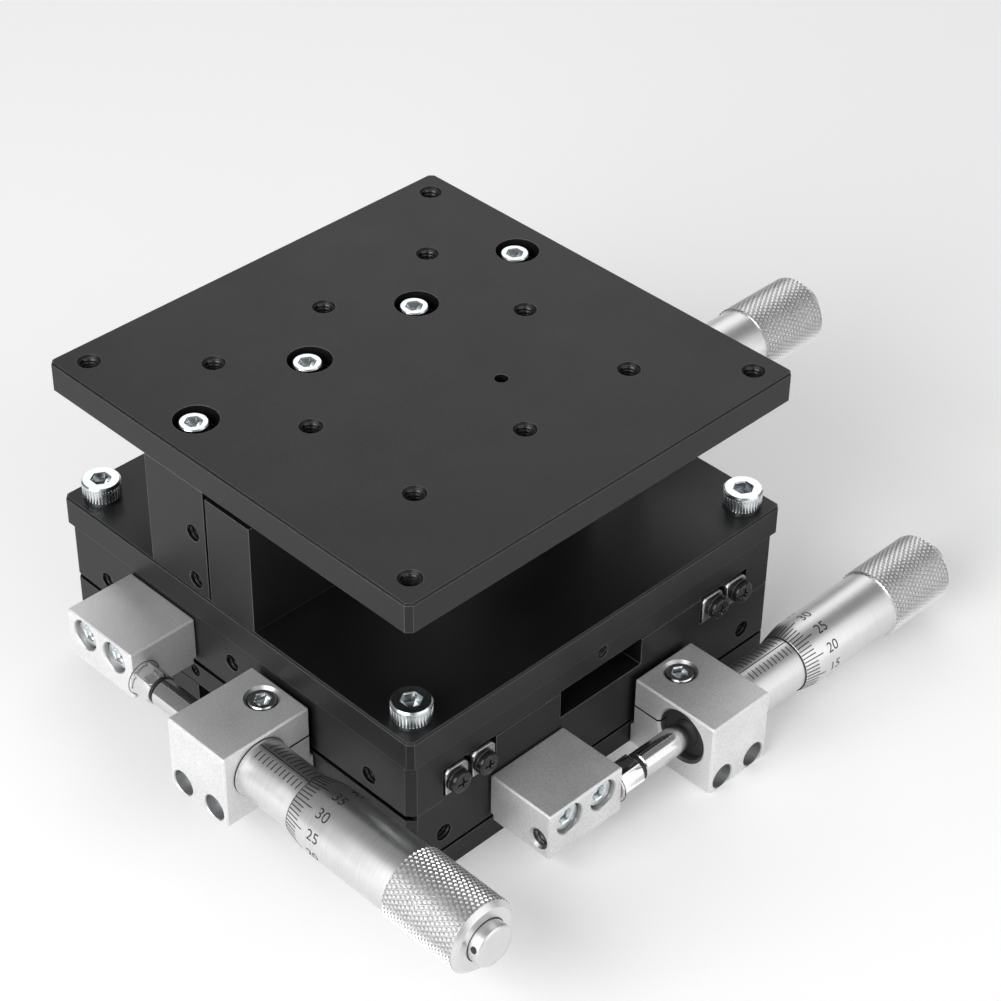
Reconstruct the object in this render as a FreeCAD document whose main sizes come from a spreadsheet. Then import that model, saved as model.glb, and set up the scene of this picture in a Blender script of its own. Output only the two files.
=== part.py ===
import FreeCAD, Part
import math
import os
import re
import Sketcher

# Manual x-y-z stage, millimetres, +Z up.
# The origin is the centre of the base's bottom face. The X micrometer stands on the
# -Y face, the Y micrometer on the -X face, and the Z micrometer lies along X under the
# top plate. X and Y stand at mid travel and Z at its lowest.

SIZES = {
    # Plates
    "plate_overhang": 0.5, "plate_thickness": 6, "plate_corner": 1, "plate_edge": 0.35,
    "body_width": 89, "body_corner": 1.4,
    # Base, mid plate and table, from the bottom up
    "base_slab": 5, "mid_slab": 5.25, "mid_shelf": 0.7, "table_slab": 4.35,
    "skirt_width": 7.15, "block_gap": 0.35, "channel_width": 20,
    "layer_gap": 0.15, "skirt_gap": 0.3, "wide_gap": 0.2,
    "rebate_depth": 1.4, "base_rebate": 0.5, "mid_rebate": 0.9,
    # Crossed-roller rails
    "rail_width": 6, "rail_height": 5.9, "rail_gap": 0.15, "rail_inset": 1.5,
    "groove_depth": 1.35, "upright_rail_length": 21, "upright_rail_gap": 0.4,
    "roller_size": 1.95, "roller_pitch": 8, "cage_length": 60, "cage_thickness": 0.4,
    "cage_width": 1.7, "upright_cage_length": 13, "upright_roller_pitch": 4,
    "upright_cage_lift": 2.5, "cage_end": 2,
    "stopper_width": 5.5, "stopper_height": 5.6, "stopper_thickness": 1,
    "stopper_corner": 1.2, "stopper_screw_radius": 1.85, "stopper_screw_head": 1.5,
    "stopper_screw_edge": 0.4,
    # Uprights of the Z axis
    "front_upright": 11, "front_upright_place": -6.9, "front_upright_short": 1.1,
    "upright_gap": 0.6, "rear_upright": 15, "foot_gap": 0.1, "upright_inset": 0.2,
    "upright_height": 22.8, "side_hole_in": 3.2, "side_hole_up": 2.6, "side_hole_pitch": 10.1,
    # Micrometer heads, stations measured along each axis from the spindle's tip
    "inner_face": 11, "stem_start": 13, "sleeve_flange": 0.25, "thimble_front": 38.2,
    "bevel_length": 3.9, "knurl_start": 62, "knurl_length": 14.8, "knurl_chamfer": 1.1,
    "cap_length": 3.7, "cap_chamfer": 0.5, "cap_radius": 3.75, "cap_neck_radius": 3,
    "cap_neck": 1.2, "sleeve_end": 58, "wall_start": 72.2, "shoulder_gap": 0.2,
    "spindle_radius": 2.5, "neck_radius": 2, "neck_gap": 0.4, "stem_radius": 5,
    "flange_radius": 5.5, "sleeve_radius": 5.25, "bevel_radius": 5.5,
    "thimble_radius": 6.3, "knurl_radius": 6.6, "running_gap": 0.05, "tip_gap": 0.05,
    "tip_chamfer": 0.3,
    "x_tip": -3, "x_axis_out": 11.7, "y_tip": 4.7, "y_axis_out": 11.6,
    "z_tip": 7.4, "z_axis_out": 6.5, "z_axis_rise": 7.7,
    # Hex anvils
    "anvil_flats": 5.5, "anvil_corner": 0.4, "shank_radius": 1.5, "shank_length": 1.3, "x_anvil": 6.2,
    "y_anvil": 4.9, "z_anvil": 3.4,
    # Holder blocks
    "holder_length": 14.4, "holder_depth": 19.1, "holder_axis": 9.1,
    "holder_over_axis": 6, "holder_edge": 0.7, "relief": 0.65, "holder_seat": 4.3,
    "slit": 0.4, "x_holder_lift": 0, "y_holder_drop": 0.25,
    "z_holder_depth": 17.1, "z_holder_over_axis": 9.9, "clamp_out": 4.7,
    "z_clamp_out": 14.3, "clamp_bore": 3.1, "clamp_sink": 2.6, "clamp_head_radius": 2.75,
    "clamp_head": 2.4, "clamp_core": 1.5, "clamp_length": 11, "core_gap": 0.1,
    "fixing_up": 2.5, "fixing_pitch": 8, "fixing_bore": 2.35, "fixing_sink": 4.5,
    "fixing_head_radius": 2.25, "fixing_head": 1.3, "fixing_core": 1.25,
    "fixing_grip": 4, "hole_spare": 0.5,
    # Stop blocks
    "stop_length": 17.4, "stop_depth": 14.1, "stop_height": 9.9, "stop_seat": 1.2,
    "x_stop_drop": 0.5, "y_stop_drop": 0.3, "stop_screw_down": 3.3,
    "stop_screw_pitch": 8, "stop_screw_bore": 2.9, "stop_screw_sink": 3.3,
    "stop_screw_head_radius": 2.75, "stop_screw_head": 3, "stop_screw_core": 1.5,
    "stop_end_hole": 1.25, "stop_end_hole_up": 2.8, "stop_end_hole_out": 11.4,
    "stop_end_hole_depth": 6,
    # Holes of the plates and bodies
    "corner_inset": 5, "grid_pitch": 25, "tapped_radius": 1.65,
    "tapped_chamfer": 0.45, "access_depth": 5, "access_radius": 1.25,
    "access_x": 7.3, "access_y": -12, "top_screw_in": 5.2, "top_screw_inset": 7.5,
    "top_bore": 4, "top_sink": 3.4, "top_head_radius": 3.5, "top_head": 2.8,
    "top_core": 2, "top_length": 10, "side_hole_depth": 6, "table_hole_drop": 1.6,
    "mid_hole_in": 7.3, "mid_hole_up": 3.8, "table_hole_in": 10.1, "table_hole_up": 2.7,
    "table_mid_hole_drop": 0.9, "small_tapped": 1.25, "shelf_hole_along": 10.55,
    "shelf_hole_up": 2.75,
    # Adapter screws and washers
    "cap_head_radius": 3.5, "cap_head": 4, "cap_core": 2, "cap_screw_length": 11,
    "washer_radius": 4.5, "washer_thickness": 0.8, "adapter_bore": 2.25,
    # Socket of every cap screw, as a share of the head
    "socket_share": 0.45, "socket_depth_share": 0.55,
    # Return springs in the channels
    "spring_radius": 2.6, "spring_wire": 0.5, "spring_height": 2.9, "post_radius": 1.5,
    "post_height": 4.6, "post_gap": 0.1, "x_post": 28, "y_post": 28,
    # Z drive: wedge, guide, follower
    "fork_middle": -10.5, "wedge_half": 3.5, "guide_gap": 0.05, "guide_floor": 2,
    "guide_wall": 1.5, "guide_lip": 2, "guide_start": -20.5, "guide_length": 26, "wedge_toe": 0.5,
    "wedge_toe_height": 2.5, "wedge_ramp": 11.6, "wedge_land": 1.4, "ramp_lead": 1,
    "roller_radius": 3.5, "roller_side_gap": 0.2,
    "ramp_gap": 0.05, "cheek_gap": 0.3, "cheek": 1.8, "fork_half": 4.5,
    "fork_below": 2.9, "fork_slot": 4.3, "flange": 3, "flange_reach": 6.6,
    "pin_radius": 1.5, "bracket_screw_out": 3.1, "bracket_head_radius": 2.75,
    "bracket_head": 3, "bracket_core": 1.5, "bracket_grip": 4,
}

doc = FreeCAD.newDocument("xyz_stage")
sheet = doc.addObject("Spreadsheet::Sheet", "Sizes")
for row, (name, number) in enumerate(SIZES.items(), 1):
    sheet.set(f"A{row}", name)
    sheet.set(f"B{row}", str(number))
    sheet.setAlias(f"B{row}", name)
workings = doc.addObject("Spreadsheet::Sheet", "Workings")
doc.recompute()

# Levels and places that several pieces share
BODY = "(body_width / 2)"
PLATE = f"({BODY} + plate_overhang)"
CORNER = f"({PLATE} - corner_inset)"
HALF_RAIL = f"({BODY} - rail_inset)"
SKIRT = f"({BODY} - skirt_width)"
RAIL_MID = f"({SKIRT} - rail_width - rail_gap)"
RAIL_IN = f"({RAIL_MID} - rail_width)"
LAYER = "(rail_height + layer_gap)"
MID_SKIRT = "(base_slab + skirt_gap)"
MID_UNDER = f"(base_slab + {LAYER})"
MID_EDGE = f"({MID_UNDER} + mid_slab)"
MID_TOP = f"({MID_EDGE} + mid_shelf)"
TABLE_SKIRT = f"({MID_EDGE} + wide_gap)"
TABLE_UNDER = f"({MID_TOP} + {LAYER})"
TABLE_TOP = f"({TABLE_UNDER} + table_slab)"
ADAPTER_TOP = f"({TABLE_TOP} + plate_thickness)"
PLATE_UNDER = f"({ADAPTER_TOP} + foot_gap + upright_height)"
PLATE_TOP = f"({PLATE_UNDER} + plate_thickness)"
FRONT_BACK = "(front_upright_place + front_upright)"
REAR_FRONT = f"({FRONT_BACK} + upright_gap)"
REAR_BACK = f"({REAR_FRONT} + rear_upright)"
WEB = f"({FRONT_BACK} + {LAYER})"
HALF_UPRIGHT = f"({PLATE} - upright_inset)"
X_HOLDER_BOTTOM = "x_holder_lift"
Y_HOLDER_BOTTOM = f"({MID_UNDER} - y_holder_drop)"
X_STOP_BOTTOM = f"({MID_SKIRT} - x_stop_drop)"
Y_STOP_BOTTOM = f"({TABLE_SKIRT} - y_stop_drop)"
X_AXIS = f"({X_HOLDER_BOTTOM} + holder_axis)"
Y_AXIS = f"({Y_HOLDER_BOTTOM} + holder_axis)"
Z_AXIS = f"({ADAPTER_TOP} + z_axis_rise)"
Z_AXIS_Y = "(front_upright_place - z_axis_out)"

FLAT = FreeCAD.Rotation()
TURNED = FreeCAD.Rotation(FreeCAD.Vector(0, 0, 1), 180)
QUARTER = FreeCAD.Rotation(FreeCAD.Vector(0, 0, 1), 90)
AGAINST_Y = FreeCAD.Rotation(FreeCAD.Vector(0, 0, 1), -90)
DOWN, UP, LEFT, FRONT = (0, 0, -1), (0, 0, 1), (-1, 0, 0), (0, -1, 0)
nodes = {}


def term(text):
    """An expression on the sheet, from a text that names its cells."""
    return re.sub(r"[a-z]\w*", lambda found: "Sizes." + found.group(), text)


def value(text):
    """The number that such a text comes to."""
    workings.set("A1", "=" + term(text))
    workings.recompute()
    return float(workings.get("A1"))


def place(item, x, y, z, turn=FLAT):
    """Binds an object's position to the sheet."""
    item.Placement = FreeCAD.Placement(FreeCAD.Vector(0, 0, 0), turn)
    for letter, text in zip("xyz", (x, y, z)):
        item.setExpression(f"Placement.Base.{letter}", term(text))
    return item


def new_body(name):
    return doc.addObject("PartDesign::Body", name)


def sketch_on(body, plane, start):
    """A sketch across one axis, at a station along it."""
    sketch = body.newObject("Sketcher::SketchObject", body.Name + "_sketch")
    for side in body.Origin.OriginFeatures:
        if side.Role == plane + "_Plane":
            sketch.AttachmentSupport = [(side, "")]
    sketch.MapMode = "FlatFace"
    offset = f"-1 * ({start})" if plane == "XZ" else start
    sketch.setExpression("AttachmentOffset.Base.z", term(offset))
    return sketch


def hold_point(sketch, geometry, corner, point):
    """Fixes one point of a sketch by its two distances from the origin."""
    for kind, text in zip(("DistanceX", "DistanceY"), point):
        made = Sketcher.Constraint(kind, -1, 1, geometry, corner, value(text))
        number = sketch.addConstraint(made)
        sketch.setExpression(f"Constraints[{number}]", term(text))


def polygon(sketch, points):
    """A closed outline whose corners are texts on the sheet."""
    at = [FreeCAD.Vector(value(u), value(v), 0) for u, v in points]
    first = sketch.GeometryCount
    count = len(at)
    for i in range(count):
        sketch.addGeometry(Part.LineSegment(at[i], at[(i + 1) % count]), False)
    for i in range(count):
        follower = first + (i + 1) % count
        joined = Sketcher.Constraint("Coincident", first + i, 2, follower, 1)
        sketch.addConstraint(joined)
    for i, point in enumerate(points):
        hold_point(sketch, first + i, 1, point)


def circles(sketch, rounds):
    """Circles given by their centre and radius as texts."""
    for u, v, radius in rounds:
        centre = FreeCAD.Vector(value(u), value(v), 0)
        ring = Part.Circle(centre, FreeCAD.Vector(0, 0, 1), value(radius))
        number = sketch.addGeometry(ring, False)
        hold_point(sketch, number, 3, (u, v))
        made = Sketcher.Constraint("Radius", number, value(radius))
        sized = sketch.addConstraint(made)
        sketch.setExpression(f"Constraints[{sized}]", term(radius))


def pad(body, plane, start, length, points):
    """Adds a prism that runs from start along the axis across the plane."""
    sketch = sketch_on(body, plane, start)
    polygon(sketch, points)
    feature = body.newObject("PartDesign::Pad", body.Name + "_pad")
    feature.Profile = sketch
    feature.setExpression("Length", term(length))
    feature.Reversed = plane == "XZ"
    return feature


def pocket(body, plane, start, length, points=None, rounds=None):
    """Cuts a prism or round holes from start along the axis across the plane."""
    sketch = sketch_on(body, plane, start)
    if points:
        polygon(sketch, points)
    if rounds:
        circles(sketch, rounds)
    doc.recompute()
    before = body.Shape.Volume
    feature = body.newObject("PartDesign::Pocket", body.Name + "_pocket")
    feature.Profile = sketch
    feature.setExpression("Length", term(length))
    feature.Reversed = plane != "XZ"
    doc.recompute()
    if body.Shape.Volume > before - 1e-6:
        raise RuntimeError(body.Name + ": a pocket cuts nothing")
    return feature


def dress(body, kind, size, chosen):
    """A chamfer or fillet on the edges that chosen(middle, ends, edge) picks."""
    doc.recompute()
    tip = body.Tip
    names = []
    for number, edge in enumerate(tip.Shape.Edges, 1):
        ends = [vertex.Point for vertex in edge.Vertexes]
        if chosen(edge.CenterOfMass, ends, edge):
            names.append(f"Edge{number}")
    feature = body.newObject("PartDesign::" + kind, f"{body.Name}_{kind.lower()}")
    feature.Base = (tip, names)
    feature.setExpression("Size" if kind == "Chamfer" else "Radius", term(size))
    return feature


def lathe(name, points):
    """A turned piece on the local X axis, from stations and radii."""
    body = new_body(name)
    sketch = sketch_on(body, "XY", "0")
    polygon(sketch, points)
    feature = body.newObject("PartDesign::Revolution", name + "_turned")
    feature.Profile = sketch
    feature.ReferenceAxis = (sketch, ["H_Axis"])
    feature.Angle = 360
    return body


def hexagon(flats):
    """Corners of a hexagon by its width across flats."""
    corners = []
    for i in range(6):
        angle = math.radians(60 * i)
        across = 1 / math.sqrt(3)
        u = f"{across * math.cos(angle):.6f} * ({flats})"
        v = f"{across * math.sin(angle):.6f} * ({flats})"
        corners.append((u, v))
    return corners


def rectangle(low_u, high_u, low_v, high_v):
    return [(low_u, low_v), (high_u, low_v), (high_u, high_v), (low_u, high_v)]


def drill(name, direction, at, radius, depth):
    """A round tool for a hole that starts at a point and runs in a direction."""
    tool = doc.addObject("Part::Cylinder", name)
    tool.setExpression("Radius", term(radius))
    tool.setExpression("Height", term(depth))
    turn = FreeCAD.Rotation(FreeCAD.Vector(0, 0, 1), FreeCAD.Vector(*direction))
    return place(tool, *at, turn)


def drilled(name, base, tools):
    """The base with all tools cut out of it."""
    group = doc.addObject("Part::Compound", name + "_holes")
    group.Links = tools
    result = doc.addObject("Part::Cut", name + "_cut")
    result.Base = base
    result.Tool = group
    return result


def keep(label, item):
    """Names a finished piece."""
    item.Label = label
    nodes[label] = item
    return item


def together(label, items):
    """One node for identical pieces that stay separate solids."""
    group = doc.addObject("Part::Compound", label + "_set")
    group.Links = items
    return keep(label, group)


def copies(label, masters, places):
    """One node of like pieces, as copies of its masters at points and directions."""
    shapes = []
    for master, point, direction in zip(masters, *zip(*places)):
        turn = FreeCAD.Rotation(FreeCAD.Vector(1, 0, 0), FreeCAD.Vector(*direction))
        at = FreeCAD.Vector(*[value(text) for text in point])
        shape = master.Shape.copy()
        shape.Placement = FreeCAD.Placement(at, turn)
        shapes.append(shape)
    feature = doc.addObject("Part::Feature", label + "_copies")
    feature.Shape = Part.makeCompound(shapes)
    return keep(label, feature)


def vertical_corner(half):
    """Chooses the upright edges at a square body's corners."""

    def chosen(middle, ends, edge):
        upright = abs(ends[0].x - ends[-1].x) + abs(ends[0].y - ends[-1].y) < 1e-6
        at_corner = abs(abs(middle.x) - half) < 1e-6 and abs(abs(middle.y) - half) < 1e-6
        return upright and at_corner

    return chosen


# Screw masters, each along X with its seat at the origin and its head ahead of it
def cap_screw(name, head_radius, head, core, length):
    body = lathe(name, [
        (f"-1 * {length}", "0"), (head, "0"), (head, head_radius), ("0", head_radius),
        ("0", core), (f"-1 * {length}", core),
    ])
    depth = f"(socket_depth_share * {head})"
    socket = hexagon(f"2 * socket_share * {head_radius}")
    pocket(body, "YZ", f"({head} - {depth})", depth, socket)
    return body


m25_screw = cap_screw(
    "m25_screw", "fixing_head_radius", "fixing_head", "fixing_core",
    "(holder_depth - fixing_sink + fixing_grip)",
)
z_m25_screw = cap_screw(
    "z_m25_screw", "fixing_head_radius", "fixing_head", "fixing_core",
    "(z_holder_depth - fixing_sink + fixing_grip)",
)
clamp_screw = cap_screw(
    "clamp_master", "clamp_head_radius", "clamp_head", "clamp_core", "clamp_length"
)
stop_screw = cap_screw(
    "stop_master", "stop_screw_head_radius", "stop_screw_head", "stop_screw_core",
    "(stop_depth - stop_screw_sink + fixing_grip)",
)
plate_screw = cap_screw("plate_master", "top_head_radius", "top_head", "top_core",
                        "top_length")
adapter_screw = cap_screw(
    "adapter_master", "cap_head_radius", "cap_head", "cap_core", "cap_screw_length"
)
bracket_screw = cap_screw(
    "bracket_master", "bracket_head_radius", "bracket_head", "bracket_core",
    "(flange + bracket_grip)",
)
pan_head = lathe("pan_master", [
    ("0", "0"), ("stopper_screw_head", "0"),
    ("stopper_screw_head", "stopper_screw_radius - stopper_screw_edge"),
    ("stopper_screw_head - stopper_screw_edge", "stopper_screw_radius"),
    ("0", "stopper_screw_radius"),
])
washer = lathe("washer_master", [
    ("0", "cap_core + core_gap"), ("washer_thickness", "cap_core + core_gap"),
    ("washer_thickness", "washer_radius"), ("0", "washer_radius"),
])
doc.recompute()


# Fixing points that the blocks and the plates share
def pair(middle, pitch):
    """Two places either side of a middle."""
    return [f"({middle} - {pitch} / 2)", f"({middle} + {pitch} / 2)"]


X_HOLDER_END = "(x_tip + inner_face)"
Y_HOLDER_END = "(y_tip - inner_face)"
Z_HOLDER_END = "(z_tip + inner_face)"
X_HOLDER_MID = f"({X_HOLDER_END} + holder_length / 2)"
Y_HOLDER_MID = f"({Y_HOLDER_END} - holder_length / 2)"
Z_HOLDER_MID = f"({Z_HOLDER_END} + holder_length / 2)"
X_STOP_END = "(x_tip - x_anvil)"
Y_STOP_END = "(y_tip + y_anvil)"
X_STOP_MID = f"({X_STOP_END} - stop_length / 2)"
Y_STOP_MID = f"({Y_STOP_END} + stop_length / 2)"
HOLDER_TOP = "(holder_axis + holder_over_axis)"
Z_HOLDER_TOP = "(z_axis_rise + z_holder_over_axis)"
Z_FIXING = f"({ADAPTER_TOP} + {Z_HOLDER_TOP} - fixing_up)"
STOP_SCREW_UP = "(stop_height - stop_screw_down)"
GRIP = "(fixing_grip + hole_spare)"
BOTH_CORNERS = (f"-1 * {CORNER}", CORNER)
CORNERS = [(x, y) for x in BOTH_CORNERS for y in BOTH_CORNERS]

# Base plate: slab, raised block along X with its spring channel, spring post
base = new_body("base_body")
pad(base, "YZ", f"-1 * {BODY}", "body_width", [
    (f"-1 * {BODY}", "0"), (BODY, "0"), (BODY, "base_slab - base_rebate"),
    (f"{BODY} - rebate_depth", "base_slab - base_rebate"),
    (f"{BODY} - rebate_depth", "base_slab"), (RAIL_IN, "base_slab"),
    (RAIL_IN, f"{MID_UNDER} - block_gap"), ("channel_width / 2", f"{MID_UNDER} - block_gap"),
    ("channel_width / 2", "base_slab"), ("-1 * channel_width / 2", "base_slab"),
    ("-1 * channel_width / 2", f"{MID_UNDER} - block_gap"),
    (f"-1 * {RAIL_IN}", f"{MID_UNDER} - block_gap"), (f"-1 * {RAIL_IN}", "base_slab"),
    (f"rebate_depth - {BODY}", "base_slab"),
    (f"rebate_depth - {BODY}", "base_slab - base_rebate"),
    (f"-1 * {BODY}", "base_slab - base_rebate"),
])
dress(base, "Chamfer", "body_corner", vertical_corner(value(BODY)))
base_tools = [
    drill("base_fixing", (0, 1, 0), (x, f"-1 * {BODY}", f"{X_HOLDER_BOTTOM} + fixing_up"),
          "fixing_core", GRIP)
    for x in pair(X_HOLDER_MID, "fixing_pitch")
]
base_tools += [
    drill("base_mounting", (0, 0, 1), (x, y, "-1 * hole_spare"), "tapped_radius",
          "base_slab + 2 * hole_spare")
    for x, y in CORNERS
]
base_drilled = drilled("base", base, base_tools)
x_fixed_post = drill("x_fixed_post", (0, 0, 1), ("x_post", "0", "base_slab"),
                     "post_radius", "post_height")
base_plate = doc.addObject("Part::MultiFuse", "base_with_post")
base_plate.Shapes = [base_drilled, x_fixed_post]
keep("base_plate", base_plate)

# Mid plate: skirts over the base, shelf and raised block along Y, spring posts
mid = new_body("mid_body")
pad(mid, "YZ", f"-1 * {BODY}", "body_width", [
    (f"-1 * {BODY}", MID_SKIRT), (f"-1 * {SKIRT}", MID_SKIRT), (f"-1 * {SKIRT}", MID_UNDER),
    (SKIRT, MID_UNDER), (SKIRT, MID_SKIRT), (BODY, MID_SKIRT), (BODY, MID_EDGE),
    (f"-1 * {BODY}", MID_EDGE),
])
pad(mid, "XZ", f"-1 * {BODY}", "body_width", [
    (f"wide_gap - {SKIRT}", MID_EDGE), (f"{SKIRT} - wide_gap", MID_EDGE),
    (f"{SKIRT} - wide_gap", MID_TOP), (RAIL_IN, MID_TOP),
    (RAIL_IN, f"{TABLE_UNDER} - block_gap"),
    ("channel_width / 2", f"{TABLE_UNDER} - block_gap"), ("channel_width / 2", MID_TOP),
    ("-1 * channel_width / 2", MID_TOP),
    ("-1 * channel_width / 2", f"{TABLE_UNDER} - block_gap"),
    (f"-1 * {RAIL_IN}", f"{TABLE_UNDER} - block_gap"), (f"-1 * {RAIL_IN}", MID_TOP),
    (f"wide_gap - {SKIRT}", MID_TOP),
])
for near, far in ((BODY, f"{BODY} - rebate_depth"), (f"-1 * {BODY}", f"rebate_depth - {BODY}")):
    pocket(mid, "XZ", f"-1 * {BODY} - hole_spare", "body_width + 2 * hole_spare",
           rectangle(near, far, f"{MID_EDGE} - mid_rebate", MID_EDGE))
dress(mid, "Chamfer", "body_corner", vertical_corner(value(BODY)))
mid_tools = [
    drill("mid_fixing", (1, 0, 0), (f"-1 * {BODY}", y, f"{Y_HOLDER_BOTTOM} + fixing_up"),
          "fixing_core", GRIP)
    for y in pair(Y_HOLDER_MID, "fixing_pitch")
]
mid_tools += [
    drill("mid_stop", (0, 1, 0), (x, f"-1 * {BODY}", f"{X_STOP_BOTTOM} + {STOP_SCREW_UP}"),
          "stop_screw_core", GRIP)
    for x in pair(X_STOP_MID, "stop_screw_pitch")
]
mid_tools += [
    drill("mid_side", (0, 1, 0), (x, f"-1 * {BODY}", "base_slab + mid_hole_up"),
          "tapped_radius", "side_hole_depth")
    for x in (f"mid_hole_in - {BODY}", f"{BODY} - mid_hole_in")
]
mid_tools.append(
    drill("mid_end", (1, 0, 0),
          (f"-1 * {BODY}", "shelf_hole_along", f"{MID_UNDER} + shelf_hole_up"),
          "small_tapped", "side_hole_depth"))
mid_drilled = drilled("mid", mid, mid_tools)
x_moving_post = drill("x_moving_post", (0, 0, -1), ("-1 * x_post", "0", MID_UNDER),
                      "post_radius", "post_height")
y_fixed_post = drill("y_fixed_post", (0, 0, 1), ("0", "-1 * y_post", MID_TOP),
                     "post_radius", "post_height")
mid_plate = doc.addObject("Part::MultiFuse", "mid_with_posts")
mid_plate.Shapes = [mid_drilled, x_moving_post, y_fixed_post]
keep("mid_plate", mid_plate)

# Table: slab and skirts over the mid plate, spring post
table = new_body("table_body")
pad(table, "XZ", f"-1 * {BODY}", "body_width", [
    (f"-1 * {BODY}", TABLE_SKIRT), (f"-1 * {SKIRT}", TABLE_SKIRT),
    (f"-1 * {SKIRT}", TABLE_UNDER), (SKIRT, TABLE_UNDER), (SKIRT, TABLE_SKIRT),
    (BODY, TABLE_SKIRT), (BODY, TABLE_TOP), (f"-1 * {BODY}", TABLE_TOP),
])
dress(table, "Chamfer", "body_corner", vertical_corner(value(BODY)))
table_tools = [
    drill("table_stop", (1, 0, 0), (f"-1 * {BODY}", y, f"{Y_STOP_BOTTOM} + {STOP_SCREW_UP}"),
          "stop_screw_core", GRIP)
    for y in pair(Y_STOP_MID, "stop_screw_pitch")
]
table_tools += [
    drill("table_corner", (0, 0, -1), (x, y, TABLE_TOP), "cap_core",
          "cap_screw_length - plate_thickness - washer_thickness + hole_spare")
    for x, y in CORNERS
]
table_tools += [
    drill("table_front", (0, 1, 0), ("0", f"-1 * {BODY}", f"{TABLE_TOP} - table_hole_drop"),
          "small_tapped", "side_hole_depth"),
    drill("table_skirt_mid", (1, 0, 0),
          (f"-1 * {BODY}", "0", f"{TABLE_UNDER} - table_mid_hole_drop"),
          "tapped_radius", "side_hole_depth"),
]
table_tools += [
    drill("table_skirt", (1, 0, 0), (f"-1 * {BODY}", y, f"{MID_TOP} + table_hole_up"),
          "tapped_radius", "side_hole_depth")
    for y in (f"table_hole_in - {BODY}", f"{BODY} - table_hole_in")
]
table_drilled = drilled("table", table, table_tools)
y_moving_post = drill("y_moving_post", (0, 0, -1), ("0", "y_post", TABLE_UNDER),
                      "post_radius", "post_height")
table_plate = doc.addObject("Part::MultiFuse", "table_with_post")
table_plate.Shapes = [table_drilled, y_moving_post]
keep("table_plate", table_plate)


# Crossed-roller rails: a V groove faces its partner across the roller row
def rail(name, plane, side, face, away, bottom, groove, start, length):
    """One rail: its grooved face stands at a place, and its body lies away from it."""
    body = new_body(name)
    back = f"({face} + {away} * rail_width)"
    apex = f"({face} + {away} * groove_depth)"
    top = f"({bottom} + rail_height)"
    outline = [
        (back, bottom), (face, bottom), (face, f"({groove} - groove_depth)"), (apex, groove),
        (face, f"({groove} + groove_depth)"), (face, top), (back, top),
    ]
    pad(body, plane, start, length, [(f"{side} * {u}", v) for u, v in outline])
    return body


def rail_set(axis, plane, bottom, start, length, outer_shift="0"):
    """The inner and the outer pair of one axis."""
    groove = f"({bottom} + {LAYER} / 2)"
    inner = [
        rail(f"{axis}_inner_rail", plane, side, RAIL_MID, "-1", bottom, groove, start, length)
        for side in ("-1", "1")
    ]
    outer = [
        rail(f"{axis}_outer_rail", plane, side, f"({RAIL_MID} + rail_gap)", "1",
             f"({bottom} + layer_gap)", groove, f"{start} + {outer_shift}", length)
        for side in ("-1", "1")
    ]
    together(f"{axis}_inner_rails", inner)
    together(f"{axis}_outer_rails", outer)


UPRIGHT_RAIL = f"({ADAPTER_TOP} + upright_rail_gap)"
rail_set("x", "YZ", "base_slab", f"-1 * {HALF_RAIL}", f"2 * {HALF_RAIL}")
rail_set("y", "XZ", MID_TOP, f"-1 * {HALF_RAIL}", f"2 * {HALF_RAIL}")
rail_set("z", "XY", FRONT_BACK, UPRIGHT_RAIL, "upright_rail_length", "foot_gap")


# Roller cages: a thin strip in each groove pair with rollers crossed in turn
def cage(label, turn, at, length, pitch):
    """Two strips along the local X axis, one in each groove pair."""
    half = value(length) / 2
    size = value("roller_size")
    thick, wide = value("cage_thickness"), value("cage_width")
    across = value(f"{RAIL_MID} + rail_gap / 2")
    reach = half - value("cage_end")
    count = int(2 * reach / value(pitch)) + 1
    rows = []
    for side in (-1, 1):
        middle = side * across
        corner = FreeCAD.Vector(-half, middle - thick / 2, -wide / 2)
        strip = Part.makeBox(2 * half, thick, wide, corner)
        rollers = []
        for i in range(count):
            along = (i - (count - 1) / 2) * value(pitch)
            lean = 1 if i % 2 else -1
            axis = FreeCAD.Vector(0, lean, 1).normalize()
            start = FreeCAD.Vector(along, middle, 0) - axis * size / 2
            rollers.append(Part.makeCylinder(size / 2, size, start, axis))
        rows.append(strip.fuse(rollers))
    feature = doc.addObject("Part::Feature", label + "_rows")
    feature.Shape = Part.makeCompound(rows)
    keep(label, place(feature, *at, turn))


GROOVE_UP = f"({LAYER} / 2)"
cage("x_cages", FLAT, ("0", "0", f"base_slab + {GROOVE_UP}"), "cage_length", "roller_pitch")
cage("y_cages", QUARTER,
     ("0", "0", f"{MID_TOP} + {GROOVE_UP}"), "cage_length", "roller_pitch")
upright_turn = FreeCAD.Rotation(
    FreeCAD.Vector(0, 0, 1), FreeCAD.Vector(1, 0, 0), FreeCAD.Vector(0, 1, 0), "XYZ"
)
cage("z_cages", upright_turn,
     ("0", f"{FRONT_BACK} + {GROOVE_UP}",
      f"{UPRIGHT_RAIL} + upright_cage_lift + upright_cage_length / 2"),
     "upright_cage_length", "upright_roller_pitch")


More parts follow.
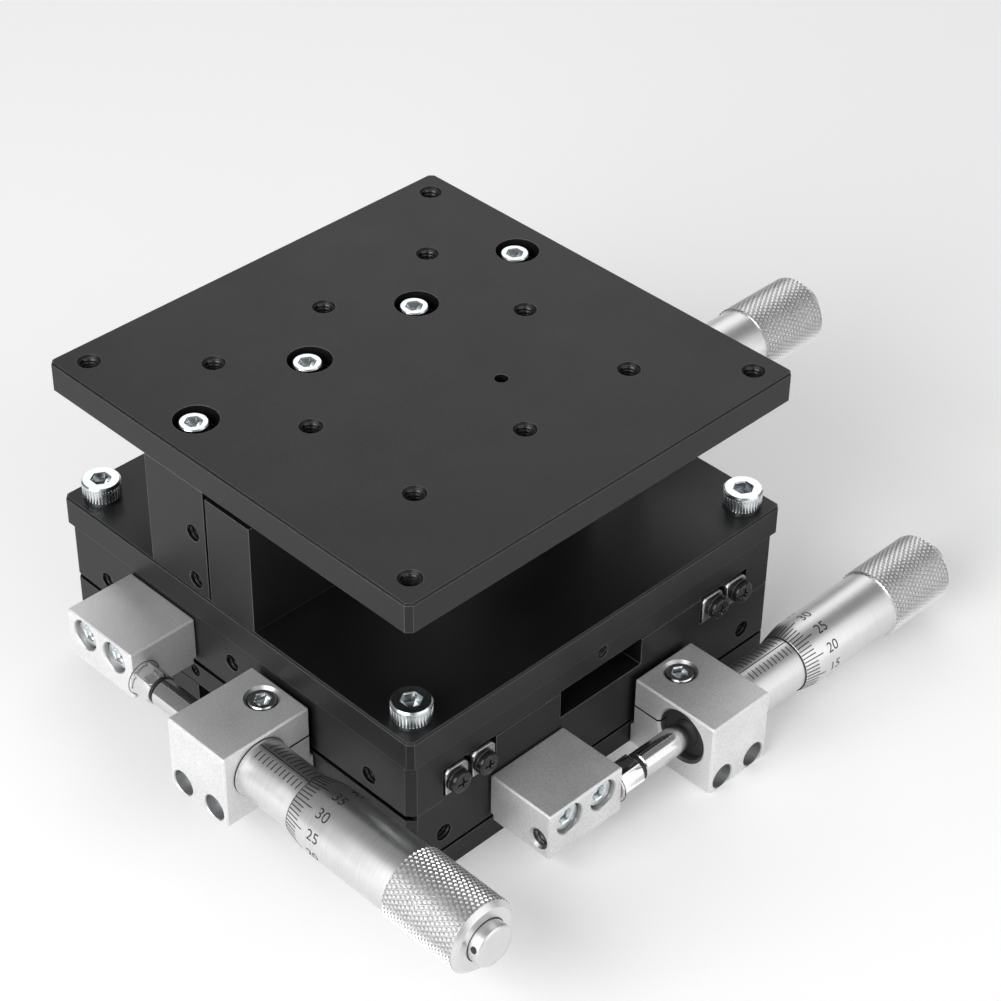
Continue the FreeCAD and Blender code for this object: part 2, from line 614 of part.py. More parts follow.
# Stoppers close the rails' ends, each with a pan-head screw
def stoppers(axis, plane, kind, middle, bottom):
    """Four end plates of one rail pair, with the corner away from the middle cut."""
    plates = []
    places = []
    half = "(stopper_width / 2)"
    for side in ("-1", "1"):
        outline = [
            (f"({middle} - {half})", bottom), (f"({middle} + {half})", bottom),
            (f"({middle} + {half})", f"{bottom} + stopper_height - stopper_corner"),
            (f"({middle} + {half} - stopper_corner)", f"{bottom} + stopper_height"),
            (f"({middle} - {half})", f"{bottom} + stopper_height"),
        ]
        sided = [(f"{side} * {u}", v) for u, v in outline]
        for end in ("-1", "1"):
            start = HALF_RAIL if end == "1" else f"-1 * {HALF_RAIL} - stopper_thickness"
            body = new_body(f"{axis}_{kind}_stopper")
            pad(body, plane, start, "stopper_thickness", sided)
            plates.append(body)
            across = f"{side} * {middle}"
            along = f"{end} * ({HALF_RAIL} + stopper_thickness)"
            height = f"{bottom} + stopper_height / 2"
            sign = int(end)
            if axis == "x":
                places.append(((along, across, height), (sign, 0, 0)))
            else:
                places.append(((across, along, height), (0, sign, 0)))
    together(f"{axis}_{kind}_stoppers", plates)
    doc.recompute()
    copies(f"{axis}_{kind}_stopper_screws", [pan_head] * 4, places)


INNER_MID = f"({RAIL_IN} + rail_width / 2)"
OUTER_MID = f"({RAIL_MID} + rail_gap + rail_width / 2)"
stoppers("x", "YZ", "inner", INNER_MID, "base_slab + layer_gap")
stoppers("x", "YZ", "outer", OUTER_MID, "base_slab + layer_gap")
stoppers("y", "XZ", "inner", INNER_MID, f"{MID_TOP} + layer_gap")
stoppers("y", "XZ", "outer", OUTER_MID, f"{MID_TOP} + layer_gap")


# Holder blocks: bore and slit for the sleeve, clamp screw, two sunk fixing screws
def holder(name, depth, height, seat, bore_out, bore_up, slit, clamp_out, fixing_up):
    """A block along local X, standing out from its seat along local Y."""
    body = new_body(name)
    outline = [("0", "0"), (depth, "0"), (depth, height), ("0", height)]
    if seat:
        outline = outline[:3] + [("relief", height), ("relief", seat), ("0", seat)]
    pad(body, "YZ", "0", "holder_length", outline)
    top, out = value(height), value(depth)

    def rounded(middle, ends, edge):
        on_top = abs(middle.z - top) < 1e-6 and middle.y > value("relief") + 1e-3
        outer = abs(middle.y - out) < 1e-6 and middle.z > 1e-3
        return on_top or outer

    dress(body, "Fillet", "holder_edge", rounded)
    pocket(body, "YZ", "0", "holder_length", rounds=[(bore_out, bore_up, "stem_radius")])
    pocket(body, "YZ", "0", "holder_length",
           rectangle(*slit, f"{bore_up} - slit / 2", f"{bore_up} + slit / 2"))
    middle = "holder_length / 2"
    pocket(body, "XY", f"{height} - clamp_length - clamp_sink", "clamp_length + clamp_sink",
           rounds=[(middle, clamp_out, "clamp_core")])
    pocket(body, "XY", f"{height} - clamp_sink", "clamp_sink",
           rounds=[(middle, clamp_out, "clamp_bore")])
    screws = pair(middle, "fixing_pitch")
    pocket(body, "XZ", "0", depth, rounds=[(x, fixing_up, "fixing_core") for x in screws])
    pocket(body, "XZ", f"{depth} - fixing_sink", "fixing_sink",
           rounds=[(x, fixing_up, "fixing_bore") for x in screws])
    return body


x_holder = holder("x_holder_body", "holder_depth", HOLDER_TOP, "holder_seat", "x_axis_out",
                  "holder_axis", ("0", "x_axis_out"), "clamp_out", "fixing_up")
keep("x_holder", place(x_holder, f"{X_HOLDER_END} + holder_length", f"-1 * {BODY}",
                       X_HOLDER_BOTTOM, TURNED))
y_holder = holder("y_holder_body", "holder_depth", HOLDER_TOP, "holder_seat", "y_axis_out",
                  "holder_axis", ("0", "y_axis_out"), "clamp_out", "fixing_up")
keep("y_holder", place(y_holder, f"-1 * {BODY}", f"{Y_HOLDER_END} - holder_length",
                       Y_HOLDER_BOTTOM, QUARTER))
z_holder = holder("z_holder_body", "z_holder_depth", Z_HOLDER_TOP, None, "z_axis_out",
                  "z_axis_rise", ("z_axis_out", "z_holder_depth"), "z_clamp_out",
                  f"({Z_HOLDER_TOP} - fixing_up)")
keep("z_holder", place(z_holder, f"{Z_HOLDER_END} + holder_length",
                       "front_upright_place", ADAPTER_TOP, TURNED))

SUNK = "(holder_depth - fixing_sink)"
x_screw_places = [
    ((x, f"-1 * ({BODY} + {SUNK})", f"{X_HOLDER_BOTTOM} + fixing_up"), FRONT)
    for x in pair(X_HOLDER_MID, "fixing_pitch")
]
x_screw_places.append((
    (X_HOLDER_MID, f"-1 * ({BODY} + clamp_out)",
     f"{X_HOLDER_BOTTOM} + {HOLDER_TOP} - clamp_sink"), UP))
copies("x_holder_screws", [m25_screw, m25_screw, clamp_screw], x_screw_places)
y_screw_places = [
    ((f"-1 * ({BODY} + {SUNK})", y, f"{Y_HOLDER_BOTTOM} + fixing_up"), LEFT)
    for y in pair(Y_HOLDER_MID, "fixing_pitch")
]
y_screw_places.append((
    (f"-1 * ({BODY} + clamp_out)", Y_HOLDER_MID,
     f"{Y_HOLDER_BOTTOM} + {HOLDER_TOP} - clamp_sink"), UP))
copies("y_holder_screws", [m25_screw, m25_screw, clamp_screw], y_screw_places)
z_screw_places = [
    ((x, "front_upright_place - z_holder_depth + fixing_sink", Z_FIXING), FRONT)
    for x in pair(Z_HOLDER_MID, "fixing_pitch")
]
z_screw_places.append((
    (Z_HOLDER_MID, "front_upright_place - z_clamp_out",
     f"{ADAPTER_TOP} + {Z_HOLDER_TOP} - clamp_sink"), UP))
copies("z_holder_screws", [z_m25_screw, z_m25_screw, clamp_screw], z_screw_places)


# Stop blocks: the spindle pushes the hex anvil on their end
def stop_block(name, anvil_out, anvil_up):
    """A block along local X, standing out from its seat along local Y."""
    body = new_body(name)
    pad(body, "YZ", "0", "stop_length", [
        ("relief", "0"), ("stop_depth", "0"), ("stop_depth", "stop_height"),
        ("0", "stop_height"), ("0", "stop_seat"), ("relief", "stop_seat"),
    ])
    top, out = value("stop_height"), value("stop_depth")

    def rounded(middle, ends, edge):
        at_edge = abs(middle.z - top) < 1e-6 or abs(middle.y - out) < 1e-6
        return at_edge and middle.y > 1e-3

    dress(body, "Fillet", "holder_edge", rounded)
    screws = pair("stop_length / 2", "stop_screw_pitch")
    pocket(body, "XZ", "0", "stop_depth",
           rounds=[(x, STOP_SCREW_UP, "stop_screw_core") for x in screws])
    pocket(body, "XZ", "stop_depth - stop_screw_sink", "stop_screw_sink",
           rounds=[(x, STOP_SCREW_UP, "stop_screw_bore") for x in screws])
    pocket(body, "YZ", "0", "shank_length", rounds=[(anvil_out, anvil_up, "shank_radius")])
    pocket(body, "YZ", "stop_length - stop_end_hole_depth", "stop_end_hole_depth",
           rounds=[("stop_end_hole_out", "stop_end_hole_up", "stop_end_hole")])
    return body


x_stop = stop_block("x_stop_body", "x_axis_out", f"{X_AXIS} - {X_STOP_BOTTOM}")
keep("x_stop_block", place(x_stop, X_STOP_END, f"-1 * {BODY}", X_STOP_BOTTOM, TURNED))
y_stop = stop_block("y_stop_body", "y_axis_out", f"{Y_AXIS} - {Y_STOP_BOTTOM}")
keep("y_stop_block", place(y_stop, f"-1 * {BODY}", Y_STOP_END, Y_STOP_BOTTOM, QUARTER))
STOP_SUNK = "(stop_depth - stop_screw_sink)"
copies("x_stop_screws", [stop_screw] * 2, [
    ((x, f"-1 * ({BODY} + {STOP_SUNK})", f"{X_STOP_BOTTOM} + {STOP_SCREW_UP}"), FRONT)
    for x in pair(X_STOP_MID, "stop_screw_pitch")
])
copies("y_stop_screws", [stop_screw] * 2, [
    ((f"-1 * ({BODY} + {STOP_SUNK})", y, f"{Y_STOP_BOTTOM} + {STOP_SCREW_UP}"), LEFT)
    for y in pair(Y_STOP_MID, "stop_screw_pitch")
])


# Hex anvils, each with its shank in the piece that it pushes
def anvil(label, length, at, direction):
    """A hex button along local X whose head ends just short of the spindle's tip."""
    body = new_body(label + "_body")
    pad(body, "YZ", "0", f"{length} - tip_gap", hexagon("anvil_flats"))
    cut = sketch_on(body, "XY", "0")
    polygon(cut, [
        (f"{length} - tip_gap", "anvil_flats / 2"),
        (f"{length} - tip_gap", "anvil_flats / 2 + 2 * anvil_corner"),
        (f"{length} - tip_gap - anvil_corner", "anvil_flats / 2 + 2 * anvil_corner"),
    ])
    doc.recompute()
    before = body.Shape.Volume
    bevel = body.newObject("PartDesign::Groove", label + "_bevel")
    bevel.Profile = cut
    bevel.ReferenceAxis = (cut, ["H_Axis"])
    bevel.Angle = 360
    doc.recompute()
    if body.Shape.Volume > before - 1e-6:
        raise RuntimeError(label + ": its corners stay sharp")
    sketch = sketch_on(body, "YZ", "-1 * shank_length")
    circles(sketch, [("0", "0", "shank_radius")])
    shank = body.newObject("PartDesign::Pad", label + "_shank")
    shank.Profile = sketch
    shank.setExpression("Length", term("shank_length"))
    turn = FreeCAD.Rotation(FreeCAD.Vector(1, 0, 0), FreeCAD.Vector(*direction))
    keep(label, place(body, *at, turn))


X_LINE = f"-1 * ({BODY} + x_axis_out)"
Y_LINE = f"-1 * ({BODY} + y_axis_out)"
WEDGE_END = "(z_tip - z_anvil)"
anvil("x_anvil", "x_anvil", (X_STOP_END, X_LINE, X_AXIS), (1, 0, 0))
anvil("y_anvil", "y_anvil", (Y_LINE, Y_STOP_END, Y_AXIS), FRONT)
anvil("z_anvil", "z_anvil", (WEDGE_END, Z_AXIS_Y, Z_AXIS), (1, 0, 0))


# Micrometer heads: each is turned along local X with the spindle's tip at the origin
def head(axis, at, turn):
    """Sleeve, spindle, thimble and end cap of one micrometer head."""
    outer_face = "(inner_face + holder_length)"
    bore = "(spindle_radius + running_gap)"
    sleeve = lathe(f"{axis}_sleeve_body", [
        ("stem_start", bore), ("stem_start", "stem_radius"), (outer_face, "stem_radius"),
        (outer_face, "flange_radius"), (f"{outer_face} + sleeve_flange", "flange_radius"),
        (f"{outer_face} + sleeve_flange", "sleeve_radius"), ("sleeve_end", "sleeve_radius"),
        ("sleeve_end", bore),
    ])
    keep(f"{axis}_sleeve", place(sleeve, *at, turn))
    shoulder = "(wall_start - shoulder_gap)"
    knurl_end = "(knurl_start + knurl_length)"
    spindle = lathe(f"{axis}_spindle_body", [
        ("0", "0"), ("0", "spindle_radius - tip_chamfer"), ("tip_chamfer", "spindle_radius"),
        (shoulder, "spindle_radius"), (shoulder, "neck_radius"),
        (f"{knurl_end} - neck_gap", "neck_radius"), (f"{knurl_end} - neck_gap", "0"),
    ])
    keep(f"{axis}_spindle", place(spindle, *at, turn))
    thimble_bore = "(sleeve_radius + running_gap)"
    wall_bore = "(neck_radius + running_gap)"
    thimble = lathe(f"{axis}_thimble_body", [
        ("thimble_front", thimble_bore), ("thimble_front", "bevel_radius"),
        ("thimble_front + bevel_length", "thimble_radius"), ("knurl_start", "thimble_radius"),
        ("knurl_start", "knurl_radius"), (f"{knurl_end} - knurl_chamfer", "knurl_radius"),
        (knurl_end, "knurl_radius - knurl_chamfer"), (knurl_end, wall_bore),
        ("wall_start", wall_bore), ("wall_start", thimble_bore),
    ])
    keep(f"{axis}_thimble", place(thimble, *at, turn))
    cap_end = f"({knurl_end} + cap_length)"
    cap = lathe(f"{axis}_cap_body", [
        (knurl_end, "0"), (knurl_end, "cap_neck_radius"),
        (f"{knurl_end} + cap_neck", "cap_neck_radius"),
        (f"{knurl_end} + cap_neck", "cap_radius"),
        (f"{cap_end} - cap_chamfer", "cap_radius"), (cap_end, "cap_radius - cap_chamfer"),
        (cap_end, "0"),
    ])
    keep(f"{axis}_cap", place(cap, *at, turn))


head("x", ("x_tip", X_LINE, X_AXIS), FLAT)
head("y", (Y_LINE, "y_tip", Y_AXIS), AGAINST_Y)
head("z", ("z_tip", Z_AXIS_Y, Z_AXIS), FLAT)


# Return springs: the closed outer form of each coil, between the posts
def spring(label, post, height, turn):
    """A tube along local X from one post to the other."""
    reach = f"({post} - post_radius - post_gap)"
    body = lathe(label + "_body", rectangle(
        f"-1 * {reach}", reach, "spring_radius - 2 * spring_wire", "spring_radius"))
    keep(label, place(body, "0", "0", height, turn))


spring("x_spring", "x_post", "base_slab + spring_height", FLAT)
spring("y_spring", "y_post", f"{MID_TOP} + spring_height", QUARTER)


# Square plates with small edge chamfers
def square_plate(name, bottom):
    body = new_body(name)
    corner = f"({PLATE} - plate_corner)"
    back, near = f"-1 * {PLATE}", f"-1 * {corner}"
    pad(body, "XY", bottom, "plate_thickness", [
        (near, back), (corner, back), (PLATE, near), (PLATE, corner), (corner, PLATE),
        (near, PLATE), (back, corner), (back, near),
    ])
    low, high = value(bottom), value(bottom + " + plate_thickness")
    dress(body, "Chamfer", "plate_edge", lambda middle, ends, edge:
          abs(middle.z - low) < 1e-6 or abs(middle.z - high) < 1e-6)
    return body


# Adapter plate on the table, with knurled cap screws and washers at its corners
adapter = square_plate("adapter_body", TABLE_TOP)
pocket(adapter, "XY", TABLE_TOP, "plate_thickness",
       rounds=[(x, y, "adapter_bore") for x, y in CORNERS])
keep("adapter_plate", adapter)
doc.recompute()
copies("adapter_washers", [washer] * 4, [((x, y, ADAPTER_TOP), UP) for x, y in CORNERS])
copies("adapter_screws", [adapter_screw] * 4,
       [((x, y, f"{ADAPTER_TOP} + washer_thickness"), UP) for x, y in CORNERS])

# Front upright: fixed on the adapter, with a raised block between its rails
front = new_body("front_body")
pad(front, "XY", ADAPTER_TOP, "foot_gap + upright_height - front_upright_short", [
    (f"-1 * {HALF_UPRIGHT}", "front_upright_place"), (HALF_UPRIGHT, "front_upright_place"),
    (HALF_UPRIGHT, FRONT_BACK), (RAIL_IN, FRONT_BACK), (RAIL_IN, f"{WEB} - block_gap"),
    (f"-1 * {RAIL_IN}", f"{WEB} - block_gap"), (f"-1 * {RAIL_IN}", FRONT_BACK),
    (f"-1 * {HALF_UPRIGHT}", FRONT_BACK),
])
keep("front_upright", drilled("front", front, [
    drill("front_fixing", (0, 1, 0), (x, "front_upright_place", Z_FIXING), "fixing_core", GRIP)
    for x in pair(Z_HOLDER_MID, "fixing_pitch")
]))

# Rear upright: an inverted channel that slides up and down round the front one
rear = new_body("rear_body")
REAR_FOOT = f"({ADAPTER_TOP} + foot_gap)"
pad(rear, "XY", REAR_FOOT, "upright_height", [
    (f"-1 * {HALF_UPRIGHT}", REAR_BACK), (f"-1 * {HALF_UPRIGHT}", REAR_FRONT),
    (f"-1 * {SKIRT}", REAR_FRONT), (f"-1 * {SKIRT}", WEB), (SKIRT, WEB),
    (SKIRT, REAR_FRONT), (HALF_UPRIGHT, REAR_FRONT), (HALF_UPRIGHT, REAR_BACK),
])
TOP_SCREWS = [f"{n} / 3 * ({PLATE} - top_screw_inset)" for n in (-3, -1, 1, 3)]
TOP_SCREW_Y = f"({REAR_BACK} - top_screw_in)"
SIDE_HOLE_LOW = f"({ADAPTER_TOP} + side_hole_up)"
rear_tools = [
    drill("rear_end", (1, 0, 0), (f"-1 * {HALF_UPRIGHT}", f"{REAR_FRONT} + side_hole_in", z),
          "tapped_radius", "side_hole_depth")
    for z in (SIDE_HOLE_LOW, f"{SIDE_HOLE_LOW} + side_hole_pitch")
]
rear_tools += [
    drill("rear_top", DOWN, (x, TOP_SCREW_Y, PLATE_UNDER), "top_core",
          "top_length - plate_thickness + top_sink + hole_spare")
    for x in TOP_SCREWS
]
keep("rear_upright", drilled("rear", rear, rear_tools))

# Top plate: tapped corner and grid holes, and screws into the rear upright
top = square_plate("top_body", PLATE_UNDER)
GRID = ("-1 * grid_pitch", "0", "grid_pitch")
tapped = CORNERS + [(x, y) for x in GRID for y in GRID if (x, y) != ("0", "0")]
pocket(top, "XY", PLATE_UNDER, "plate_thickness",
       rounds=[(x, y, "tapped_radius") for x, y in tapped])
pocket(top, "XY", f"{PLATE_TOP} - access_depth", "access_depth",
       rounds=[("access_x", "access_y", "access_radius")])
pocket(top, "XY", PLATE_UNDER, "plate_thickness",
       rounds=[(x, TOP_SCREW_Y, "top_core + core_gap") for x in TOP_SCREWS])
pocket(top, "XY", f"{PLATE_TOP} - top_sink", "top_sink",
       rounds=[(x, TOP_SCREW_Y, "top_bore") for x in TOP_SCREWS])
BRACKET_SCREWS = pair("fork_middle", "2 * (fork_half + bracket_screw_out)")
pocket(top, "XY", PLATE_UNDER, "bracket_grip",
       rounds=[(x, Z_AXIS_Y, "bracket_core") for x in BRACKET_SCREWS])
tapped_edge, top_level = value("tapped_radius"), value(PLATE_TOP)
dress(top, "Chamfer", "tapped_chamfer", lambda middle, ends, edge:
      abs(middle.z - top_level) < 1e-6 and hasattr(edge.Curve, "Radius")
      and abs(edge.Curve.Radius - tapped_edge) < 1e-6)
keep("top_plate", top)
doc.recompute()
copies("top_plate_screws", [plate_screw] * 4,
       [((x, TOP_SCREW_Y, f"{PLATE_TOP} - top_sink"), UP) for x in TOP_SCREWS])

# Z drive: the spindle pushes a wedge under a roller that carries the top plate
guide = new_body("guide_body")
slide_in, slide_out = "(wedge_half + guide_gap)", "(wedge_half + guide_gap + guide_wall)"
FLOOR = f"({ADAPTER_TOP} + guide_floor)"
pad(guide, "YZ", "guide_start", "guide_length", [
    (f"{Z_AXIS_Y} - {slide_out}", ADAPTER_TOP), (f"{Z_AXIS_Y} + {slide_out}", ADAPTER_TOP),
    (f"{Z_AXIS_Y} + {slide_out}", f"{FLOOR} + guide_lip"),
    (f"{Z_AXIS_Y} + {slide_in}", f"{FLOOR} + guide_lip"),
    (f"{Z_AXIS_Y} + {slide_in}", FLOOR), (f"{Z_AXIS_Y} - {slide_in}", FLOOR),
    (f"{Z_AXIS_Y} - {slide_in}", f"{FLOOR} + guide_lip"),
    (f"{Z_AXIS_Y} - {slide_out}", f"{FLOOR} + guide_lip"),
])
keep("wedge_guide", guide)

wedge = new_body("wedge_body")
WEDGE_BOTTOM = f"({FLOOR} + guide_gap)"
RAMP_TOP = f"({WEDGE_END} - wedge_land)"
RAMP_FOOT = f"({RAMP_TOP} - wedge_ramp)"
TOE = f"({WEDGE_BOTTOM} + wedge_toe_height)"
pad(wedge, "XZ", f"{Z_AXIS_Y} - wedge_half", "2 * wedge_half", [
    (f"{RAMP_FOOT} - wedge_toe", WEDGE_BOTTOM), (WEDGE_END, WEDGE_BOTTOM),
    (WEDGE_END, f"{TOE} + wedge_ramp"), (RAMP_TOP, f"{TOE} + wedge_ramp"),
    (RAMP_FOOT, TOE), (f"{RAMP_FOOT} - wedge_toe", TOE),
])
keep("wedge", drilled("wedge", wedge, [
    drill("wedge_shank", LEFT, (WEDGE_END, Z_AXIS_Y, Z_AXIS), "shank_radius",
          "shank_length")
]))

# Follower: roller on its pin in a fork under the top plate
slope = f"{math.sqrt(0.5):.6f}"
ROLLER_X = f"({RAMP_FOOT} + ramp_lead - {slope} * (roller_radius + ramp_gap))"
ROLLER_Z = f"({TOE} + ramp_lead + {slope} * (roller_radius + ramp_gap))"
CHEEK_IN, CHEEK_OUT = "(wedge_half + cheek_gap)", "(wedge_half + cheek_gap + cheek)"
fork = new_body("fork_body")
FORK_LOW, FORK_HIGH = f"({ROLLER_Z} - fork_below)", f"({PLATE_UNDER} - flange)"
pad(fork, "XZ", f"{Z_AXIS_Y} - {CHEEK_OUT}", f"2 * {CHEEK_OUT}", [
    ("fork_middle - fork_half", FORK_LOW), ("fork_middle + fork_half", FORK_LOW),
    ("fork_middle + fork_half", FORK_HIGH), ("fork_middle + fork_half + flange_reach", FORK_HIGH),
    ("fork_middle + fork_half + flange_reach", PLATE_UNDER),
    ("fork_middle - fork_half - flange_reach", PLATE_UNDER),
    ("fork_middle - fork_half - flange_reach", FORK_HIGH),
    ("fork_middle - fork_half", FORK_HIGH),
])
pocket(fork, "XZ", f"{Z_AXIS_Y} - {CHEEK_IN}", f"2 * {CHEEK_IN}", rectangle(
    "fork_middle - fork_half", "fork_middle + fork_half", FORK_LOW, f"{ROLLER_Z} + fork_slot"))
pocket(fork, "XZ", f"{Z_AXIS_Y} - {CHEEK_OUT}", f"2 * {CHEEK_OUT}",
       rounds=[(ROLLER_X, ROLLER_Z, "pin_radius")])
pocket(fork, "XY", FORK_HIGH, "flange",
       rounds=[(x, Z_AXIS_Y, "bracket_core") for x in BRACKET_SCREWS])
keep("follower_bracket", fork)
doc.recompute()
copies("bracket_screws", [bracket_screw] * 2,
       [((x, Z_AXIS_Y, FORK_HIGH), DOWN) for x in BRACKET_SCREWS])
pin = lathe("pin_body", rectangle(f"-1 * {CHEEK_OUT}", CHEEK_OUT, "0", "pin_radius"))
keep("roller_pin", place(pin, ROLLER_X, Z_AXIS_Y, ROLLER_Z, QUARTER))
half_roller = f"({CHEEK_IN} - roller_side_gap)"
roller = lathe("roller_body", rectangle(
    f"-1 * {half_roller}", half_roller, "pin_radius + running_gap", "roller_radius"))
keep("follower_roller", place(roller, ROLLER_X, Z_AXIS_Y, ROLLER_Z, QUARTER))

doc.removeObject(workings.Name)
doc.recompute()

for item in doc.Objects:
    if "Invalid" in item.State or "Error" in item.State:
        raise RuntimeError(f"{item.Name} failed: {item.State}")
os.makedirs("parts", exist_ok=True)
for label, item in nodes.items():
    if item.Shape.isNull() or not item.Shape.isValid():
        raise RuntimeError(label + " has no valid shape")
    item.Shape.exportStep(f"parts/{label}.step")
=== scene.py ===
import math

import bmesh
import bpy
from mathutils import Matrix, Vector


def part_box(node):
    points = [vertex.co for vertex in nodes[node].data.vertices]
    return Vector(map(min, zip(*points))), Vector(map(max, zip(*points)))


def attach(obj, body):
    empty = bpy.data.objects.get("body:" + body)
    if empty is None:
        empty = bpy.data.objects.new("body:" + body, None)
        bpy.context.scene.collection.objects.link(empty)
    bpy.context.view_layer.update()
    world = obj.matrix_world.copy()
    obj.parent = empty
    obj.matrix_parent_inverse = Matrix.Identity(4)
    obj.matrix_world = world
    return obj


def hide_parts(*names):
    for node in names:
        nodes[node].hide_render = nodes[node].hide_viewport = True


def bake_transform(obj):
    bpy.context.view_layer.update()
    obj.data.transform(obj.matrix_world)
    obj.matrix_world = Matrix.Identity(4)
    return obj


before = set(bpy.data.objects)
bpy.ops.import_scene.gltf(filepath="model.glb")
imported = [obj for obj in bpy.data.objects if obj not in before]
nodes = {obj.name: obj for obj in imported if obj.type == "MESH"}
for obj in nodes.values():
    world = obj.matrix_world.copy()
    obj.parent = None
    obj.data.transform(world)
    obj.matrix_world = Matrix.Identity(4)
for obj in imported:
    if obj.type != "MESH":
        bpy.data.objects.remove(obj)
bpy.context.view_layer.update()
into_scene = bpy.context.scene.collection.objects.link
MM = 0.001

# Camera
# It looks down on the stage's near corner through a long lens, turned very slightly, so
# that the upright edges lean as they do in the picture.
view_azimuth = math.radians(-45.151)
view_height = math.radians(37.953)
view_roll = math.radians(0.903)
camera_place = Vector((-252.18, -270.36, 321.68))
picture_width, focal_pixels, sensor_width = 1001, 2648.739, 36
back = Vector((
    math.sin(view_azimuth) * math.cos(view_height),
    -math.cos(view_azimuth) * math.cos(view_height),
    math.sin(view_height),
))
level = Vector((math.cos(view_azimuth), math.sin(view_azimuth), 0))
upward = back.cross(level)
right = math.cos(view_roll) * level + math.sin(view_roll) * upward
upward = math.cos(view_roll) * upward - math.sin(view_roll) * level
camera_data = bpy.data.cameras.new("camera")
camera_data.sensor_width = sensor_width
camera_data.lens = focal_pixels / picture_width * sensor_width
camera_data.clip_end = 20
camera = bpy.data.objects.new("camera", camera_data)
camera_turn = Matrix((right, upward, back)).transposed().to_4x4()
camera.matrix_world = Matrix.Translation(camera_place * MM) @ camera_turn
into_scene(camera)
bpy.context.scene.camera = camera
bpy.context.scene.view_settings.view_transform = "Standard"

# Floor and light
# A plain pale table top that fades to white beyond the lamps, a broad soft lamp from the
# left, a wide one from the right, one from behind that the level faces mirror, and a dim
# even surround.
floor_reach, floor_drop = 6, 0.02
floor_colour, white = (0.95, 0.95, 0.95, 1), (1, 1, 1, 1)
floor_roughness, floor_gloss = 0.75, 0.2
floor_glow, far_glow = 0.14, 0.95
fade_start, fade_end = 0.45, 0.74
surround_strength = 0.25
lamps = {
    "left_lamp": ((-0.66, -0.06, 0.36), 0.62, 5.9),
    "right_lamp": ((0.16, -0.72, 0.26), 0.90, 3.2),
    "back_lamp": ((0.55, 0.52, 0.66), 0.70, 2.0),
}


def feed(node, values):
    """Sets sockets of a shader node, or links them where an output is given. They go by
    name, or in their order."""
    for socket, value in values.items() if isinstance(values, dict) else enumerate(values):
        if isinstance(value, bpy.types.NodeSocket):
            node.id_data.links.new(value, node.inputs[socket])
        else:
            node.inputs[socket].default_value = value


def shader_node(tree, kind, values=(), **settings):
    """Adds a shader node with its settings and with what goes into its sockets."""
    node = tree.nodes.new(kind)
    for setting, choice in settings.items():
        setattr(node, setting, choice)
    feed(node, values)
    return node


def new_material(name):
    """A new material, its tree of nodes and its shader."""
    material = bpy.data.materials.new(name)
    material.use_nodes = True
    return material, material.node_tree, material.node_tree.nodes["Principled BSDF"]


floor_mesh = bpy.data.meshes.new("floor")
made = bmesh.new()
bmesh.ops.create_grid(made, x_segments=4, y_segments=4, size=floor_reach)
made.to_mesh(floor_mesh)
made.free()
floor = bpy.data.objects.new("floor", floor_mesh)
floor.location.z = -floor_drop * MM
into_scene(floor)
floor_paint, floor_tree, floor_shader = new_material("floor_paint")
rays = shader_node(floor_tree, "ShaderNodeLightPath")
seen = shader_node(floor_tree, "ShaderNodeMath", (
    rays.outputs["Is Camera Ray"], rays.outputs["Is Glossy Ray"]), operation="MAXIMUM")
floor_place = shader_node(floor_tree, "ShaderNodeTexCoord")
distance = shader_node(
    floor_tree, "ShaderNodeVectorMath", [floor_place.outputs["Object"]], operation="LENGTH")
fade = shader_node(floor_tree, "ShaderNodeMapRange", {
    "Value": distance.outputs["Value"], "From Min": fade_start, "From Max": fade_end,
    "To Min": floor_glow, "To Max": far_glow,
})
glow = shader_node(
    floor_tree, "ShaderNodeMath", (seen.outputs[0], fade.outputs[0]), operation="MULTIPLY")
feed(floor_shader, {
    "Base Color": floor_colour, "Roughness": floor_roughness, "Specular IOR Level": floor_gloss,
    "Emission Color": white, "Emission Strength": glow.outputs[0],
})
floor_mesh.materials.append(floor_paint)

for lamp_name, (place, size, power) in lamps.items():
    lamp_data = bpy.data.lights.new(lamp_name, "AREA")
    lamp_data.size = size
    lamp_data.energy = power
    lamp = bpy.data.objects.new(lamp_name, lamp_data)
    lamp.location = place
    lamp.rotation_euler = Vector(place).to_track_quat("Z", "Y").to_euler()
    into_scene(lamp)

surround = bpy.data.worlds.new("surround")
surround.use_nodes = True
feed(surround.node_tree.nodes["Background"], {"Strength": surround_strength, "Color": white})
bpy.context.scene.world = surround


# Black plates and bodies
# Base, mid plate, table, adapter, both uprights and the top plate are milled aluminium,
# satin black anodised. Their broken edges carry a painted highlight: thin paler lines where
# they catch the light.
fine_share, fine_detail = 0.65, 3
broad_share, broad_detail, broad_scale = 0.35, 4, 90
grain_low, grain_high = 0.35, 0.65
# Where an edge's painted highlight starts and where it is full, by how far its rounded look turns,
# and the samples for it.
edge_start, edge_full, edge_samples = 0.995, 0.90, 6
# A Mix node's sockets for numbers and for colours share their names, so these go by place.
number_a, number_b, colour_a, colour_b, colour_out = 2, 3, 6, 7, 2


def new_group(name, inputs, outputs):
    """A shader group with its sockets, and its two end nodes."""
    group = bpy.data.node_groups.new(name, "ShaderNodeTree")
    for socket, kind, value in inputs:
        made_socket = group.interface.new_socket(socket, in_out="INPUT", socket_type=kind)
        made_socket.default_value = value
    for socket, kind in outputs:
        group.interface.new_socket(socket, in_out="OUTPUT", socket_type=kind)
    return group, group.nodes.new("NodeGroupInput").outputs, group.nodes.new("NodeGroupOutput")


